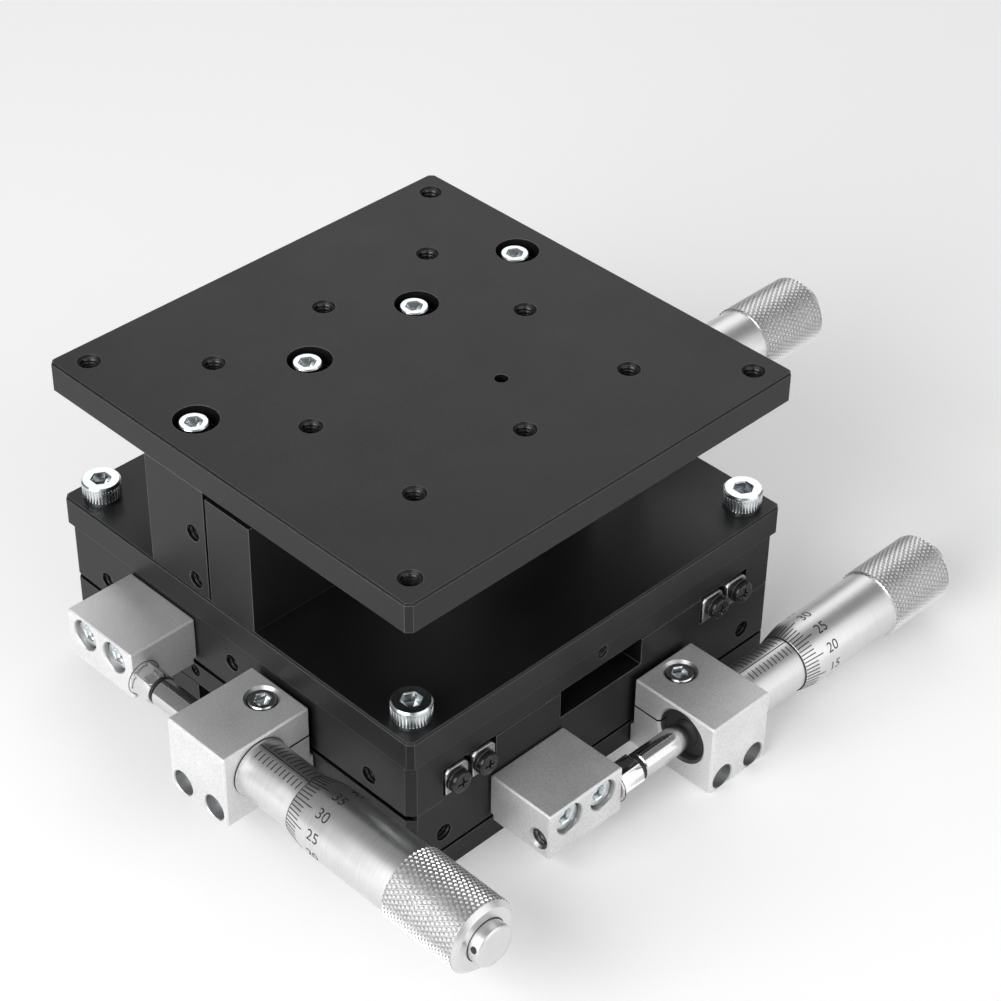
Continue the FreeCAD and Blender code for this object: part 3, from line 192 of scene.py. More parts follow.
def grain_group():
    """Fine mottling of a metal surface, drawn out along one direction where it is cut."""
    group, given, result = new_group("surface_grain", [
        ("Dark", "NodeSocketColor", (0, 0, 0, 1)),
        ("Light", "NodeSocketColor", white),
        ("Fine", "NodeSocketFloat", 4000),
        ("Stretch", "NodeSocketVector", (1, 1, 1)),
        ("Smooth", "NodeSocketFloat", 0.3),
        ("Rough", "NodeSocketFloat", 0.4),
    ], [
        ("Color", "NodeSocketColor"),
        ("Roughness", "NodeSocketFloat"),
        ("Height", "NodeSocketFloat"),
    ])
    place = shader_node(group, "ShaderNodeTexCoord")
    drawn = shader_node(group, "ShaderNodeVectorMath", (
        place.outputs["Object"], given["Stretch"]), operation="MULTIPLY")
    fine = shader_node(group, "ShaderNodeTexNoise", {
        "Vector": drawn.outputs[0], "Scale": given["Fine"], "Detail": fine_detail,
    })
    broad = shader_node(group, "ShaderNodeTexNoise", {
        "Vector": place.outputs["Object"], "Scale": broad_scale, "Detail": broad_detail,
    })
    share = shader_node(
        group, "ShaderNodeMath", (fine.outputs["Fac"], fine_share), operation="MULTIPLY")
    both = shader_node(group, "ShaderNodeMath", (
        broad.outputs["Fac"], broad_share, share.outputs[0]), operation="MULTIPLY_ADD")
    spread = shader_node(group, "ShaderNodeMapRange", {
        "Value": both.outputs[0], "From Min": grain_low, "From Max": grain_high,
    })
    tone = shader_node(group, "ShaderNodeMix", {
        "Factor": spread.outputs[0], colour_a: given["Dark"], colour_b: given["Light"],
    }, data_type="RGBA")
    sheen = shader_node(group, "ShaderNodeMix", {
        "Factor": spread.outputs[0], number_a: given["Smooth"], number_b: given["Rough"],
    })
    feed(result, {
        "Color": tone.outputs[colour_out], "Roughness": sheen.outputs[0],
        "Height": fine.outputs["Fac"],
    })
    return group


def edge_group():
    """Rounds the look of sharp edges and paints a paler highlight on them, by how far the
    rounded surface turns away from the true one. The highlight stands in for light that the edges
    catch."""
    group, given, result = new_group("edge_highlights", [
        ("Color", "NodeSocketColor", (0, 0, 0, 1)),
        ("Edge Color", "NodeSocketColor", white),
        ("Radius", "NodeSocketFloat", 0.2 * MM),
        ("Highlight", "NodeSocketFloat", 1),
    ], [
        ("Color", "NodeSocketColor"),
        ("Normal", "NodeSocketVector"),
    ])
    bevel = shader_node(group, "ShaderNodeBevel", {"Radius": given["Radius"]}, samples=edge_samples)
    surface = shader_node(group, "ShaderNodeNewGeometry")
    alike = shader_node(group, "ShaderNodeVectorMath", (
        bevel.outputs[0], surface.outputs["Normal"]), operation="DOT_PRODUCT")
    turned_away = shader_node(group, "ShaderNodeMapRange", {
        "Value": alike.outputs["Value"], "From Min": edge_start, "From Max": edge_full,
    })
    highlit = shader_node(
        group, "ShaderNodeMath", (turned_away.outputs[0], given["Highlight"]), operation="MULTIPLY")
    tone = shader_node(group, "ShaderNodeMix", {
        "Factor": highlit.outputs[0], colour_a: given["Color"], colour_b: given["Edge Color"],
    }, data_type="RGBA")
    feed(result, {"Color": tone.outputs[colour_out], "Normal": bevel.outputs[0]})
    return group


surface_grain = grain_group()
edge_highlights = edge_group()


def colour(tone):
    """A socket's colour, from a grey or from red, green and blue."""
    return (*tone, 1) if isinstance(tone, tuple) else (tone, tone, tone, 1)


def metal(name, dark, light, smooth, rough, metallic=1, fine=4000, stretch=(1, 1, 1),
          relief=0.02, edge=None, edge_radius=0.15, highlight_share=0.6, gloss=0.5):
    """A metal finish: its two tones, its range of roughness, its grain and the painted highlight on
    its edges.
    """
    material, tree, shader = new_material(name)
    grain = shader_node(tree, "ShaderNodeGroup", {
        "Dark": colour(dark), "Light": colour(light), "Fine": fine, "Stretch": stretch,
        "Smooth": smooth, "Rough": rough,
    }, node_tree=surface_grain)
    bump = shader_node(tree, "ShaderNodeBump", {
        "Distance": relief * MM, "Height": grain.outputs["Height"],
    })
    feed(shader, {
        "Metallic": metallic, "Specular IOR Level": gloss,
        "Roughness": grain.outputs["Roughness"], "Normal": bump.outputs["Normal"],
    })
    if edge is None:
        feed(shader, {"Base Color": grain.outputs["Color"]})
        return material
    edges = shader_node(tree, "ShaderNodeGroup", {
        "Color": grain.outputs["Color"], "Edge Color": colour(edge),
        "Radius": edge_radius * MM, "Highlight": highlight_share,
    }, node_tree=edge_highlights)
    feed(shader, {"Base Color": edges.outputs["Color"]})
    feed(bump, {"Normal": edges.outputs["Normal"]})
    return material


def paint(material, *names):
    """Gives CAD pieces their finish."""
    for name in names:
        for slot in nodes[name].material_slots:
            slot.material = material


black_anodised = metal(
    "black_anodised", dark=0.004, light=0.008, smooth=0.36, rough=0.46, metallic=0, fine=3200,
    relief=0.010, edge=0.22, highlight_share=0.9, gloss=0.32)
paint(black_anodised, "base_plate", "mid_plate", "table_plate", "adapter_plate",
      "front_upright", "rear_upright", "top_plate")


# Threads of the tapped holes
# M4 and M3 threads cut in the black aluminium: in the top plate they start under each
# hole's chamfer. Their crests carry a painted highlight inside the dark holes.
thread_depth, thread_sink, thread_steps = 0.16, 0.03, 28
crest_share, root_share = 0.5, 0.86
thread_margin, side_thread_reach, chamfer_depth = 1, 4.5, 0.45
m4_core, m3_core = 1.65, 1.25
m4, m3 = (m4_core, 0.7), (m3_core, 0.5)
corner_reach, grid_pitch = 40, 25
x_way, y_way, z_way = (1, 0, 0), (0, 1, 0), (0, 0, 1)


def box_mm(node):
    """The low and the high corner of a CAD piece's box, in millimetres."""
    return [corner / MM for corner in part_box(node)]


def facing(seat, direction):
    """The place at a seat whose local X points in a direction."""
    turn = Vector(direction).to_track_quat("X", "Z").to_matrix().to_4x4()
    return Matrix.Translation(seat) @ turn


def around(place, station, radius, angle):
    """A point round a place's local X, in metres."""
    local = Vector((station, radius * math.cos(angle), radius * math.sin(angle)))
    return place @ local * MM


def laid(along, lengthwise, aside, rise):
    """A point by its distance along the axis of that number, across it and up."""
    return Vector((aside, lengthwise, rise) if along else (lengthwise, aside, rise))


def skin(made, rings, capped=True):
    """Lays faces from each ring of points to the next, and over both ends."""
    for one, other in zip(rings, rings[1:]):
        for i in range(len(one)):
            k = (i + 1) % len(one)
            made.faces.new((one[i], other[i], other[k], one[k]))
    if capped:
        made.faces.new(rings[0])
        made.faces.new(rings[-1])


def swept(made, place, profile, angles, pitch=0):
    """Adds a profile of stations and radii swept about local X through the angles. It moves
    on by the pitch at each turn."""
    rings = []
    for angle in angles:
        shift = pitch * angle / math.tau
        rings.append([made.verts.new(around(place, station + shift, radius, angle))
                      for station, radius in profile])
    skin(made, rings)


def thread(made, mouth, inward, size, depth):
    """Adds one inside thread to a mesh, from a hole's mouth inward. Its size is the
    radius of its core and its pitch."""
    core, pitch = size
    steps = int(depth / pitch * thread_steps)
    swept(made, facing(mouth, inward), [
        (0, core + thread_sink), (crest_share * pitch, core - thread_depth),
        (root_share * pitch, core + thread_sink),
    ], [math.tau * i / thread_steps for i in range(steps + 1)], pitch)


def mesh_piece(name, made, material, body, smooth_angle=35):
    """Turns a finished mesh into a piece that rides on a body."""
    bmesh.ops.recalc_face_normals(made, faces=made.faces)
    mesh = bpy.data.meshes.new(name)
    made.to_mesh(mesh)
    made.free()
    mesh.shade_smooth()
    mesh.set_sharp_from_angle(angle=math.radians(smooth_angle))
    mesh.materials.append(material)
    piece = bpy.data.objects.new(name, mesh)
    into_scene(piece)
    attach(piece, body)
    return piece


def detail(node, made, material, body, smooth_angle=35, also=()):
    """A finer piece in place of the CAD one of that name, and of others that it takes in."""
    piece = mesh_piece(node + "_detail", made, material, body, smooth_angle)
    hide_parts(node, *also)
    return piece


tapped_steel = metal(
    "thread_crest", dark=0.012, light=0.04, smooth=0.2, rough=0.3, metallic=0.3, relief=0.004,
    edge=0.25, edge_radius=0.06)
top_low, top_high = box_mm("top_plate")
corners, grid = (-corner_reach, corner_reach), (-grid_pitch, 0, grid_pitch)
top_holes = [(x, y) for x in corners for y in corners]
top_holes += [(x, y) for x in grid for y in grid if (x, y) != (0, 0)]
made = bmesh.new()
for x, y in top_holes:
    thread(made, (x, y, top_high.z - chamfer_depth), (0, 0, -1), m4,
           top_high.z - top_low.z - thread_margin)
mesh_piece("top_plate_threads", made, tapped_steel, "z_carriage")

# The bodies' side holes are tapped the same way: two on the mid plate's front skirt and one
# on its side, four on the table's skirts, two in the rear upright's end. Each hole has the
# place of its mouth, its way inward and its size.
mid_low = box_mm("mid_plate")[0]
upright_low = box_mm("rear_upright")[0]
side_holes = {
    "mid_plate_threads": ("x_carriage", [
        ((-37.2, mid_low.y, 8.8), y_way, m4),
        ((37.2, mid_low.y, 8.8), y_way, m4),
        ((mid_low.x, 10.55, 13.8), x_way, m3),
    ]),
    "table_plate_threads": ("y_carriage", [
        ((0, mid_low.y, 25.8), y_way, m3),
        ((mid_low.x, 0, 22.15), x_way, m4),
        ((mid_low.x, -34.4, 19.7), x_way, m4),
        ((mid_low.x, 34.4, 19.7), x_way, m4),
    ]),
    "rear_upright_threads": ("z_carriage", [
        ((upright_low.x, 7.9, 36), x_way, m4),
        ((upright_low.x, 7.9, 46.1), x_way, m4),
    ]),
}
for name, (body, holes) in side_holes.items():
    made = bmesh.new()
    for mouth, inward, size in holes:
        thread(made, mouth, inward, size, side_thread_reach)
    mesh_piece(name, made, tapped_steel, body)


# Crossed-roller rails, cages and wedge
# Hardened steel, ground along its length. The wedge, the follower's roller and its pin
# are ground like the upright rails. The cages are thin brass strips.
drawn_out = 0.04
ground_along = {"x": (drawn_out, 1, 1), "y": (1, drawn_out, 1), "z": (1, 1, drawn_out)}
# The rails' edges carry a painted highlight.
ground_steel = {}
for axis, stretch in ground_along.items():
    ground_steel[axis] = metal(
        "ground_steel_" + axis, dark=(0.42, 0.42, 0.43), light=(0.58, 0.58, 0.59),
        smooth=0.2, rough=0.34, stretch=stretch, relief=0.006, edge=0.8, edge_radius=0.1)
    paint(ground_steel[axis], axis + "_inner_rails", axis + "_outer_rails")
paint(ground_steel["z"], "wedge", "follower_roller", "roller_pin")
# The cages' edges carry a painted highlight too.
cage_brass = metal(
    "cage_brass", dark=(0.62, 0.44, 0.16), light=(0.74, 0.56, 0.25), smooth=0.28,
    rough=0.42, relief=0.01, edge=(0.85, 0.7, 0.4), edge_radius=0.08)
paint(cage_brass, "x_cages", "y_cages", "z_cages")


# Rail end stoppers
# Punched steel plates with two cut corners, over the rails' ends. Their edges carry a white
# painted highlight. They stand out a little, but for those on the back face.
bright_steel = metal(
    "bright_steel", dark=0.30, light=0.42, smooth=0.24, rough=0.38, relief=0.01, edge=1,
    edge_radius=0.16, highlight_share=1)
plate_width, plate_height, plate_corner, plate_edge = 5.1, 5.3, 0.85, 0.16
plate_depth, plate_lip, cad_plate_half = 1, 0.8, 2.75


def break_edges(made, width):
    """Bevels every edge of a closed shape."""
    bmesh.ops.recalc_face_normals(made, faces=made.faces)
    bmesh.ops.bevel(made, geom=made.edges[:], offset=width * MM, segments=1, affect="EDGES")


half = plate_width / 2
plate_outline = [
    (-half, 0), (half, 0), (half, plate_height - plate_corner),
    (half - plate_corner, plate_height), (plate_corner - half, plate_height),
    (-half, plate_height - plate_corner),
]
# Each row's body, and the number of the axis that its rails lie along.
stoppers = {
    "x_inner": ("base", 0), "x_outer": ("x_carriage", 0),
    "y_inner": ("x_carriage", 1), "y_outer": ("y_carriage", 1),
}
for row, (body, along) in stoppers.items():
    node = row + "_stoppers"
    low, high = box_mm(node)
    made = bmesh.new()
    for end in (-1, 1):
        lip = plate_lip if along == 0 or end == -1 else 0
        for side in (-1, 1):
            middle = side * (high[1 - along] - cad_plate_half)
            skin(made, [[
                made.verts.new(laid(along, end * out, middle + aside, low.z + rise) * MM)
                for aside, rise in plate_outline
            ] for out in (high[along] - plate_depth, high[along] + lip)])
    break_edges(made, plate_edge)
    detail(node, made, bright_steel, body)


# Black pan-head screws of the stoppers
# M2.5 screws with a cross recess and a split spring washer under the head, black oxide.
# There are four on each face that shows rail ends, one for each stopper.
round_steps, pan_steps = 96, 64
pan_radius, pan_height, back_height, pan_core, pan_shank = 2.15, 1.85, 1.45, 1.2, 4
pan_break, pan_side_share, dome_inset = 0.12, 0.45, 0.5
dome_shares = (0.35, 0.6, 0.85, 1.0)
pan_apart, pan_drop = 0.4, 0.15
cross_reach, cross_arm, cross_depth, cross_hub = 1.2, 0.28, 0.7, 1.5
cross_break, cross_lip, floor_reach_share, floor_arm_share = 0.05, 0.06, 0.55, 0.8
washer_thickness, washer_gap, washer_play, washer_lip = 0.55, math.radians(14), 0.05, 0.1


def turned(made, place, rings, steps=round_steps, tube=False):
    """Adds a piece turned about local X. A ring is a station and a radius, or a station
    and one radius for each step."""
    loops = []
    for station, reach in rings:
        radii = reach if isinstance(reach, list) else [reach] * steps
        loops.append([made.verts.new(around(place, station, radius, math.tau * i / steps))
                      for i, radius in enumerate(radii)])
    if tube:
        loops.append(loops[0])
    skin(made, loops, capped=not tube)


def cross_recess(reach, arm):
    """Radii of a cross with rounded hollows between its arms."""
    radii = []
    for i in range(pan_steps):
        angle = math.tau * i / pan_steps
        bent = abs((angle + math.pi / 4) % (math.pi / 2) - math.pi / 4)
        side = arm / max(math.sin(bent), 1e-6)
        radii.append(min(reach / math.cos(bent), max(side, arm * cross_hub)))
    return radii


def spring_washer(made, place, inner, outer, thickness):
    """A split spring washer on a seat."""
    swept(made, place, [(0, inner), (0, outer), (thickness, outer), (thickness, inner)],
          [washer_gap / 2 + (math.tau - washer_gap) * i / pan_steps
           for i in range(pan_steps + 1)])


def pan_screw(made, seat, direction, height):
    """One pan-head screw on its split spring washer."""
    place = facing(seat, direction)
    under = washer_thickness
    dome = height - under
    rings = [(-pan_shank, pan_core), (under, pan_core), (under, pan_radius - pan_break),
             (under + pan_break, pan_radius), (under + pan_side_share * dome, pan_radius)]
    for share in dome_shares:
        bend = share * math.pi / 2
        rise = pan_side_share + (1 - pan_side_share) * math.sin(bend)
        rings.append((under + dome * rise, pan_radius - dome_inset * (1 - math.cos(bend))))
    mouth = cross_recess(cross_reach, cross_arm)
    rings += [(height, [radius + cross_break for radius in mouth]), (height - cross_lip, mouth),
              (height - cross_depth, cross_recess(cross_reach * floor_reach_share,
                                                  cross_arm * floor_arm_share))]
    turned(made, place, rings, pan_steps)
    spring_washer(made, place, pan_core + washer_play, pan_radius + washer_lip, under)


# The screws' edges carry a faint painted highlight.
black_oxide = metal(
    "black_oxide", dark=0.012, light=0.03, smooth=0.14, rough=0.32, metallic=0.3, relief=0.01,
    edge=0.5, edge_radius=0.07)
for row, (body, along) in stoppers.items():
    node = row + "_stopper_screws"
    low, high = box_mm(node)
    plate_face = box_mm(row + "_stoppers")[1][along]
    aside = high[1 - along] - (high.z - low.z) / 2 + pan_apart
    made = bmesh.new()
    for end in (-1, 1):
        at_back = along == 1 and end == 1
        reach = plate_face + (0 if at_back else plate_lip)
        for side in (-1, 1):
            seat = laid(along, end * reach, side * aside, (low.z + high.z) / 2 - pan_drop)
            pan_screw(made, seat, laid(along, end, 0, 0), back_height if at_back else pan_height)
    detail(node, made, black_oxide, body)


# Socket cap screws
# Plated steel screws with a hexagon socket: knurled ones at the adapter's corners, low
# heads sunk in the top plate, and small ones sunk in the holder and stop blocks.
plated_steel = metal(
    "plated_steel", dark=(0.66, 0.70, 0.72), light=(0.74, 0.77, 0.78), smooth=0.18,
    rough=0.26, relief=0.001)
screw_steps, tooth_steps = 216, 6
tooth_depth, tooth_break = 0.26, 0.02
rim_share, tip_break, foot_break, foot_rise = 0.08, 0.3, 0.2, 0.15
band_width, groove_depth, groove_width, groove_below, groove_above = 0.75, 0.18, 0.1, 0.05, 0.08
socket_share, socket_break, socket_lip, cone_share, cone_end = 0.55, 0.22, 0.2, 0.3, 0.05


def hexagon(flats, steps):
    """Radii of a hexagon by its width across flats."""
    radii = []
    for i in range(steps):
        bent = (math.tau * i / steps) % (math.pi / 3) - math.pi / 6
        radii.append(flats / 2 / math.cos(bent))
    return radii


def cap_screw(made, seat, direction, length, radius, height, core, flats, knurled=False):
    """One socket cap screw with a rounded rim. A knurled one has straight teeth below a
    groove and a plain band."""
    rim = rim_share * radius
    side = [radius] * screw_steps
    if knurled:
        side = [radius - (tooth_depth if i % tooth_steps < tooth_steps / 2 else tooth_break)
                for i in range(screw_steps)]
    rings = [(-length, core - tip_break), (tip_break - length, core), (0, core),
             (0, radius - foot_break), (foot_rise, side)]
    if knurled:
        band, waist = height - band_width, radius - groove_depth
        rings += [(band - groove_width - groove_below, side), (band - groove_width, waist),
                  (band, waist), (band + groove_above, radius)]
    socket = hexagon(flats, screw_steps)
    bottom = height - socket_share * height
    rings += [(height - rim, radius), (height, radius - rim),
              (height, [reach + socket_break for reach in socket]),
              (height - socket_lip, socket), (bottom, socket),
              (bottom - cone_share * flats, cone_end)]
    turned(made, facing(seat, direction), rings, screw_steps)


outward = {"x": (0, -1, 0), "y": (-1, 0, 0), "z": (0, -1, 0)}
holder_body = {"x": "base", "y": "x_carriage", "z": "y_carriage"}
clamp_screw = {"radius": 2.45, "height": 2.2, "core": 1.5, "flats": 2.5}
fixing_screw = {"radius": 2.25, "height": 1.3, "core": 1.2, "flats": 1.5}
stop_screw = {"radius": 2.75, "height": 2.4, "core": 1.45, "flats": 2.5}
clamp_length, fixing_length, stop_head_room = 10.9, 18, 3
clamp_from_seat = {"x": 4.7, "y": 4.7, "z": 14.3}
fixing_up = {"x": 2.5, "y": 2.5, "z": 15.1}

for axis, way in outward.items():
    low, high = box_mm(axis + "_holder")
    screws_low, screws_high = box_mm(axis + "_holder_screws")
    middle = (low + high) / 2
    along = 1 if axis == "y" else 0
    out = 1 - along
    made = bmesh.new()
    seat = laid(along, middle[along], high[out] - clamp_from_seat[axis],
                screws_high.z - clamp_screw["height"])
    cap_screw(made, seat, z_way, clamp_length, **clamp_screw)
    radius = fixing_screw["radius"]
    for side in (screws_low[along] + radius, screws_high[along] - radius):
        seat = laid(along, side, screws_low[out] + fixing_screw["height"],
                    low.z + fixing_up[axis])
        cap_screw(made, seat, way, fixing_length, **fixing_screw)
    detail(axis + "_holder_screws", made, plated_steel, holder_body[axis])

stop_body = {"x": "x_carriage", "y": "y_carriage"}
for axis, body in stop_body.items():
    low, high = box_mm(axis + "_stop_screws")
    along = 1 if axis == "y" else 0
    out = 1 - along
    made = bmesh.new()
    for side in (low[along] + stop_screw["radius"], high[along] - stop_screw["radius"]):
        seat = laid(along, side, low[out] + stop_head_room, (low.z + high.z) / 2)
        cap_screw(made, seat, outward[axis], high[out] - low[out] - stop_head_room, **stop_screw)
    detail(axis + "_stop_screws", made, plated_steel, body)

adapter_screw = {"radius": 3.5, "height": 3.3, "core": 1.95, "flats": 3}
adapter_washer, adapter_washer_radius, cad_head_radius = 0.5, 3.1, 3.5
low, high = box_mm("adapter_screws")
adapter_level = box_mm("adapter_plate")[1].z
made = bmesh.new()
for x in (low.x + cad_head_radius, high.x - cad_head_radius):
    for y in (low.y + cad_head_radius, high.y - cad_head_radius):
        seat = Vector((x, y, adapter_level + adapter_washer))
        cap_screw(made, seat, z_way, seat.z - low.z, **adapter_screw, knurled=True)
        spring_washer(made, facing((x, y, adapter_level), z_way),
                      adapter_screw["core"] + washer_play, adapter_washer_radius, adapter_washer)
detail("adapter_screws", made, plated_steel, "y_carriage",
       also=["adapter_washers"])

sunk_screw = {"radius": 2.6, "height": 2.8, "core": 1.95, "flats": 2.5}
sunk_aside, sunk_count = Vector((-0.2, 0.45, 0)), 4
low, high = box_mm("top_plate_screws")
pitch = (high.x - low.x - 2 * cad_head_radius) / (sunk_count - 1)
made = bmesh.new()
for i in range(sunk_count):
    seat = Vector((low.x + cad_head_radius + i * pitch, (low.y + high.y) / 2,
                   high.z - sunk_screw["height"]))
    cap_screw(made, seat + sunk_aside, z_way, seat.z - low.z, **sunk_screw)
detail("top_plate_screws", made, plated_steel, "z_carriage")
paint(plated_steel, "bracket_screws")


# Holder blocks, stop blocks, guide and follower bracket
# Machined aluminium, bead blasted and clear anodised: an even pale grey with a fine grain,
# and thin chamfers with a white painted highlight. They are screwed to the plates' sides.
blasted_aluminium = metal(
    "blasted_aluminium", dark=0.64, light=0.88, smooth=0.42, rough=0.54, metallic=0.7,
    fine=4600, relief=0.03, edge=1, edge_radius=0.18, highlight_share=0.9)
paint(blasted_aluminium, "follower_bracket", "wedge_guide")
# Cut aluminium threads, darkened as painted shade inside the hole, with a painted highlight on the
# crests.
cut_and_shaded_aluminium = metal(
    "cut_and_shaded_aluminium", dark=0.16, light=0.30, smooth=0.2, rough=0.3, relief=0.006, edge=0.9,
    edge_radius=0.06)
# Painted shade: near-black faces inside the holders' saw cuts.
slit_shade = metal(
    "slit_shade", dark=0.010, light=0.02, smooth=0.5, rough=0.6, metallic=0)
bored_aluminium = metal(
    "bored_aluminium", dark=0.50, light=0.62, smooth=0.36, rough=0.46, fine=5000, relief=0.002)
block_finishes = (blasted_aluminium, slit_shade, bored_aluminium)
block_chamfer, hole_chamfer, slit, slit_overrun = 0.32, 0.2, 0.4, 0.1
seat_relief, stop_seat_height = 0.65, 1.2
clamp_bore, clamp_sink, clamp_hole, clamp_depth, clamp_chamfer = 2.65, 2.6, 1.5, 13.6, 0.5
fixing_bore, fixing_sink, fixing_hole = 2.35, 4.5, 1.25
stop_bore, stop_sink, stop_hole, stop_screw_down = 2.9, 3.3, 1.5, 3.3
shank_radius, shank_depth = 1.5, 1.3
sleeve_bore, bore_chamfer, screw_pitch = 5, 0.45, 8
end_hole_out, end_hole_up, end_hole_depth, end_chamfer = 11.5, 3.5, 6, 0.45
end_thread_inset = 0.35
hole_steps, bore_steps, overshoot, run_through = 64, 128, 0.5, 1


def stand(axis, node):
    """The place whose local X runs along a block, local Y out of its seat and local Z up,
    and the block's length, depth and height."""
    low, high = box_mm(node)
    if axis == "y":
        return (Matrix.Translation((high.x, low.y, low.z)) @ Matrix.Rotation(math.pi / 2, 4, "Z"),
                high.y - low.y, high.x - low.x, high.z - low.z)
    return (Matrix.Translation((high.x, high.y, low.z)) @ Matrix.Rotation(math.pi, 4, "Z"),
            high.x - low.x, high.y - low.y, high.z - low.z)


def hole(place, mouth, direction, rings, steps=hole_steps):
    """A cutter turned about a hole's axis. Stations run out of the hole's mouth."""
    made = bmesh.new()
    turned(made, place @ facing(mouth, direction), rings, steps)
    return made


def sunk_hole(place, mouth, direction, bore, sink, core, depth, chamfer):
    """A cutter for a screw's hole with its counterbore and a broken rim."""
    return hole(place, mouth, direction, [
        (-depth, core), (-sink, core), (-sink, bore), (-chamfer, bore), (0, bore + chamfer),
        (overshoot, bore + chamfer + overshoot),
    ])


def screw_holes(place, length, depth, height, bore, sink, core):
    """Cutters for a block's two screws, from its outer face right through."""
    mouths = [(length / 2 + side * screw_pitch / 2, depth, height) for side in (-1, 1)]
    return [sunk_hole(place, mouth, y_way, bore, sink, core, depth + run_through,
                      hole_chamfer) for mouth in mouths]


def prism(place, length, outline):
    """A profile across the block, drawn out along it."""
    made = bmesh.new()
    skin(made, [[made.verts.new(place @ Vector((x, *point)) * MM) for point in outline]
                for x in length])
    return made


def machined(name, made, cutters, body):
    """A block with its edges broken and its holes cut, in place of the CAD one. Its holes
    are bored after blasting and shine; the saw cut, the one flat cutter, is painted near-black as
    shade inside the slit."""
    break_edges(made, block_chamfer)
    shapes = []
    for shape in [made] + cutters:
        bmesh.ops.recalc_face_normals(shape, faces=shape.faces)
        if shape is not made:
            for face in shape.faces:
                face.material_index = 1 if len(shape.faces) == 6 else 2
        mesh = bpy.data.meshes.new(name)
        for finish in block_finishes:
            mesh.materials.append(finish)
        shape.to_mesh(mesh)
        shape.free()
        shapes.append(bpy.data.objects.new(name, mesh))
        into_scene(shapes[-1])
    for cutter in shapes[1:]:
        cut = shapes[0].modifiers.new("cut", "BOOLEAN")
        cut.operation = "DIFFERENCE"
        cut.solver = "EXACT"
        cut.object = cutter
    ready = shapes[0].evaluated_get(bpy.context.evaluated_depsgraph_get())
    done = bmesh.new()
    done.from_mesh(ready.to_mesh())
    ready.to_mesh_clear()
    for shape in shapes:
        bpy.data.objects.remove(shape)
    piece = detail(name, done, blasted_aluminium, body, 30)
    for finish in block_finishes[1:]:
        piece.data.materials.append(finish)


# For each holder: its bore's distance from the seat, the bore's height, where the saw cut
# runs from and to, and how high the seat reaches below the relief, if there is one.
holders = {
    "x": (11.7, 9.1, (0, 11.7), 4.3),
    "y": (11.6, 9.1, (0, 11.6), 4.3),
    "z": (6.5, 7.7, (6.5, 17.2), None),
}
for axis, (bore_out, bore_up, cut, seat_height) in holders.items():
    place, length, depth, height = stand(axis, axis + "_holder")
    outline = [(0, 0), (depth, 0), (depth, height), (0, height)]
    if seat_height:
        outline = outline[:3] + [(seat_relief, height), (seat_relief, seat_height),
                                 (0, seat_height)]
    wide = sleeve_bore + bore_chamfer
    cutters = [
        hole(place, (0, bore_out, bore_up), x_way, [
            (-overshoot, sleeve_bore), (length - bore_chamfer, sleeve_bore), (length, wide),
            (length + overshoot, wide + overshoot),
        ], bore_steps),
        prism(place, (-run_through, length + run_through), [
            (cut[0] - slit_overrun, bore_up - slit / 2), (cut[1], bore_up - slit / 2),
            (cut[1], bore_up + slit / 2), (cut[0] - slit_overrun, bore_up + slit / 2),
        ]),
        sunk_hole(place, (length / 2, clamp_from_seat[axis], height), z_way, clamp_bore,
                  clamp_sink, clamp_hole, clamp_depth, clamp_chamfer),
    ] + screw_holes(place, length, depth, fixing_up[axis], fixing_bore, fixing_sink, fixing_hole)
    machined(axis + "_holder", prism(place, (0, length), outline), cutters, holder_body[axis])

# For each stop block: its anvil's distance from the seat, and the anvil's height.
stops = {"x": (11.7, 4.3), "y": (11.6, 3.7)}
for axis, (anvil_out, anvil_up) in stops.items():
    place, length, depth, height = stand(axis, axis + "_stop_block")
    outline = [(seat_relief, 0), (depth, 0), (depth, height), (0, height),
               (0, stop_seat_height), (seat_relief, stop_seat_height)]
    cutters = [hole(place, (length, end_hole_out, end_hole_up), x_way, [
        (-end_hole_depth, m4_core), (-end_chamfer, m4_core), (0, m4_core + end_chamfer),
        (overshoot, m4_core + end_chamfer + overshoot),
    ]), hole(place, (0, anvil_out, anvil_up), x_way, [
        (-overshoot, shank_radius), (shank_depth, shank_radius),
    ])]
    cutters += screw_holes(place, length, depth, height - stop_screw_down, stop_bore, stop_sink,
                           stop_hole)
    machined(axis + "_stop_block", prism(place, (0, length), outline), cutters, stop_body[axis])
    made = bmesh.new()
    mouth = place @ Vector((length - end_thread_inset, end_hole_out, end_hole_up))
    inward = place.to_3x3() @ Vector((-1, 0, 0))
    thread(made, mouth, inward, m4, end_hole_depth - thread_margin)
    mesh_piece(axis + "_stop_threads", made, cut_and_shaded_aluminium, stop_body[axis])


# Micrometer heads
# Three like heads with satin chrome sleeves and thimbles, polished spindles, and scales
# engraved and filled with black. A diamond knurl and a small cap end each thimble.
polished_steel = metal(
    "polished_steel", dark=(0.64, 0.63, 0.64), light=(0.72, 0.71, 0.72), smooth=0.15,
    rough=0.2, relief=0.0005)
turned_along = {"x": (1, 0.03, 0.03), "y": (0.03, 1, 0.03)}
chrome = {}
for axis, stretch in turned_along.items():
    chrome[axis] = metal(
        "satin_chrome_" + axis, dark=0.67, light=0.76, smooth=0.34, rough=0.42, fine=5000,
        stretch=stretch, relief=0.0015)
chrome["z"] = chrome["x"]
# Black ink in the engraved scales; the same black also makes the painted shadows at the knobs,
# sleeves and anvils.
ink_and_shade = metal(
    "ink_and_shade", dark=(0.010, 0.010, 0.011), light=(0.022, 0.022, 0.024), smooth=0.5,
    rough=0.7, metallic=0, relief=0.004)
ink_and_shade_lift, ink_and_shade_sink = 0.012, 0.03

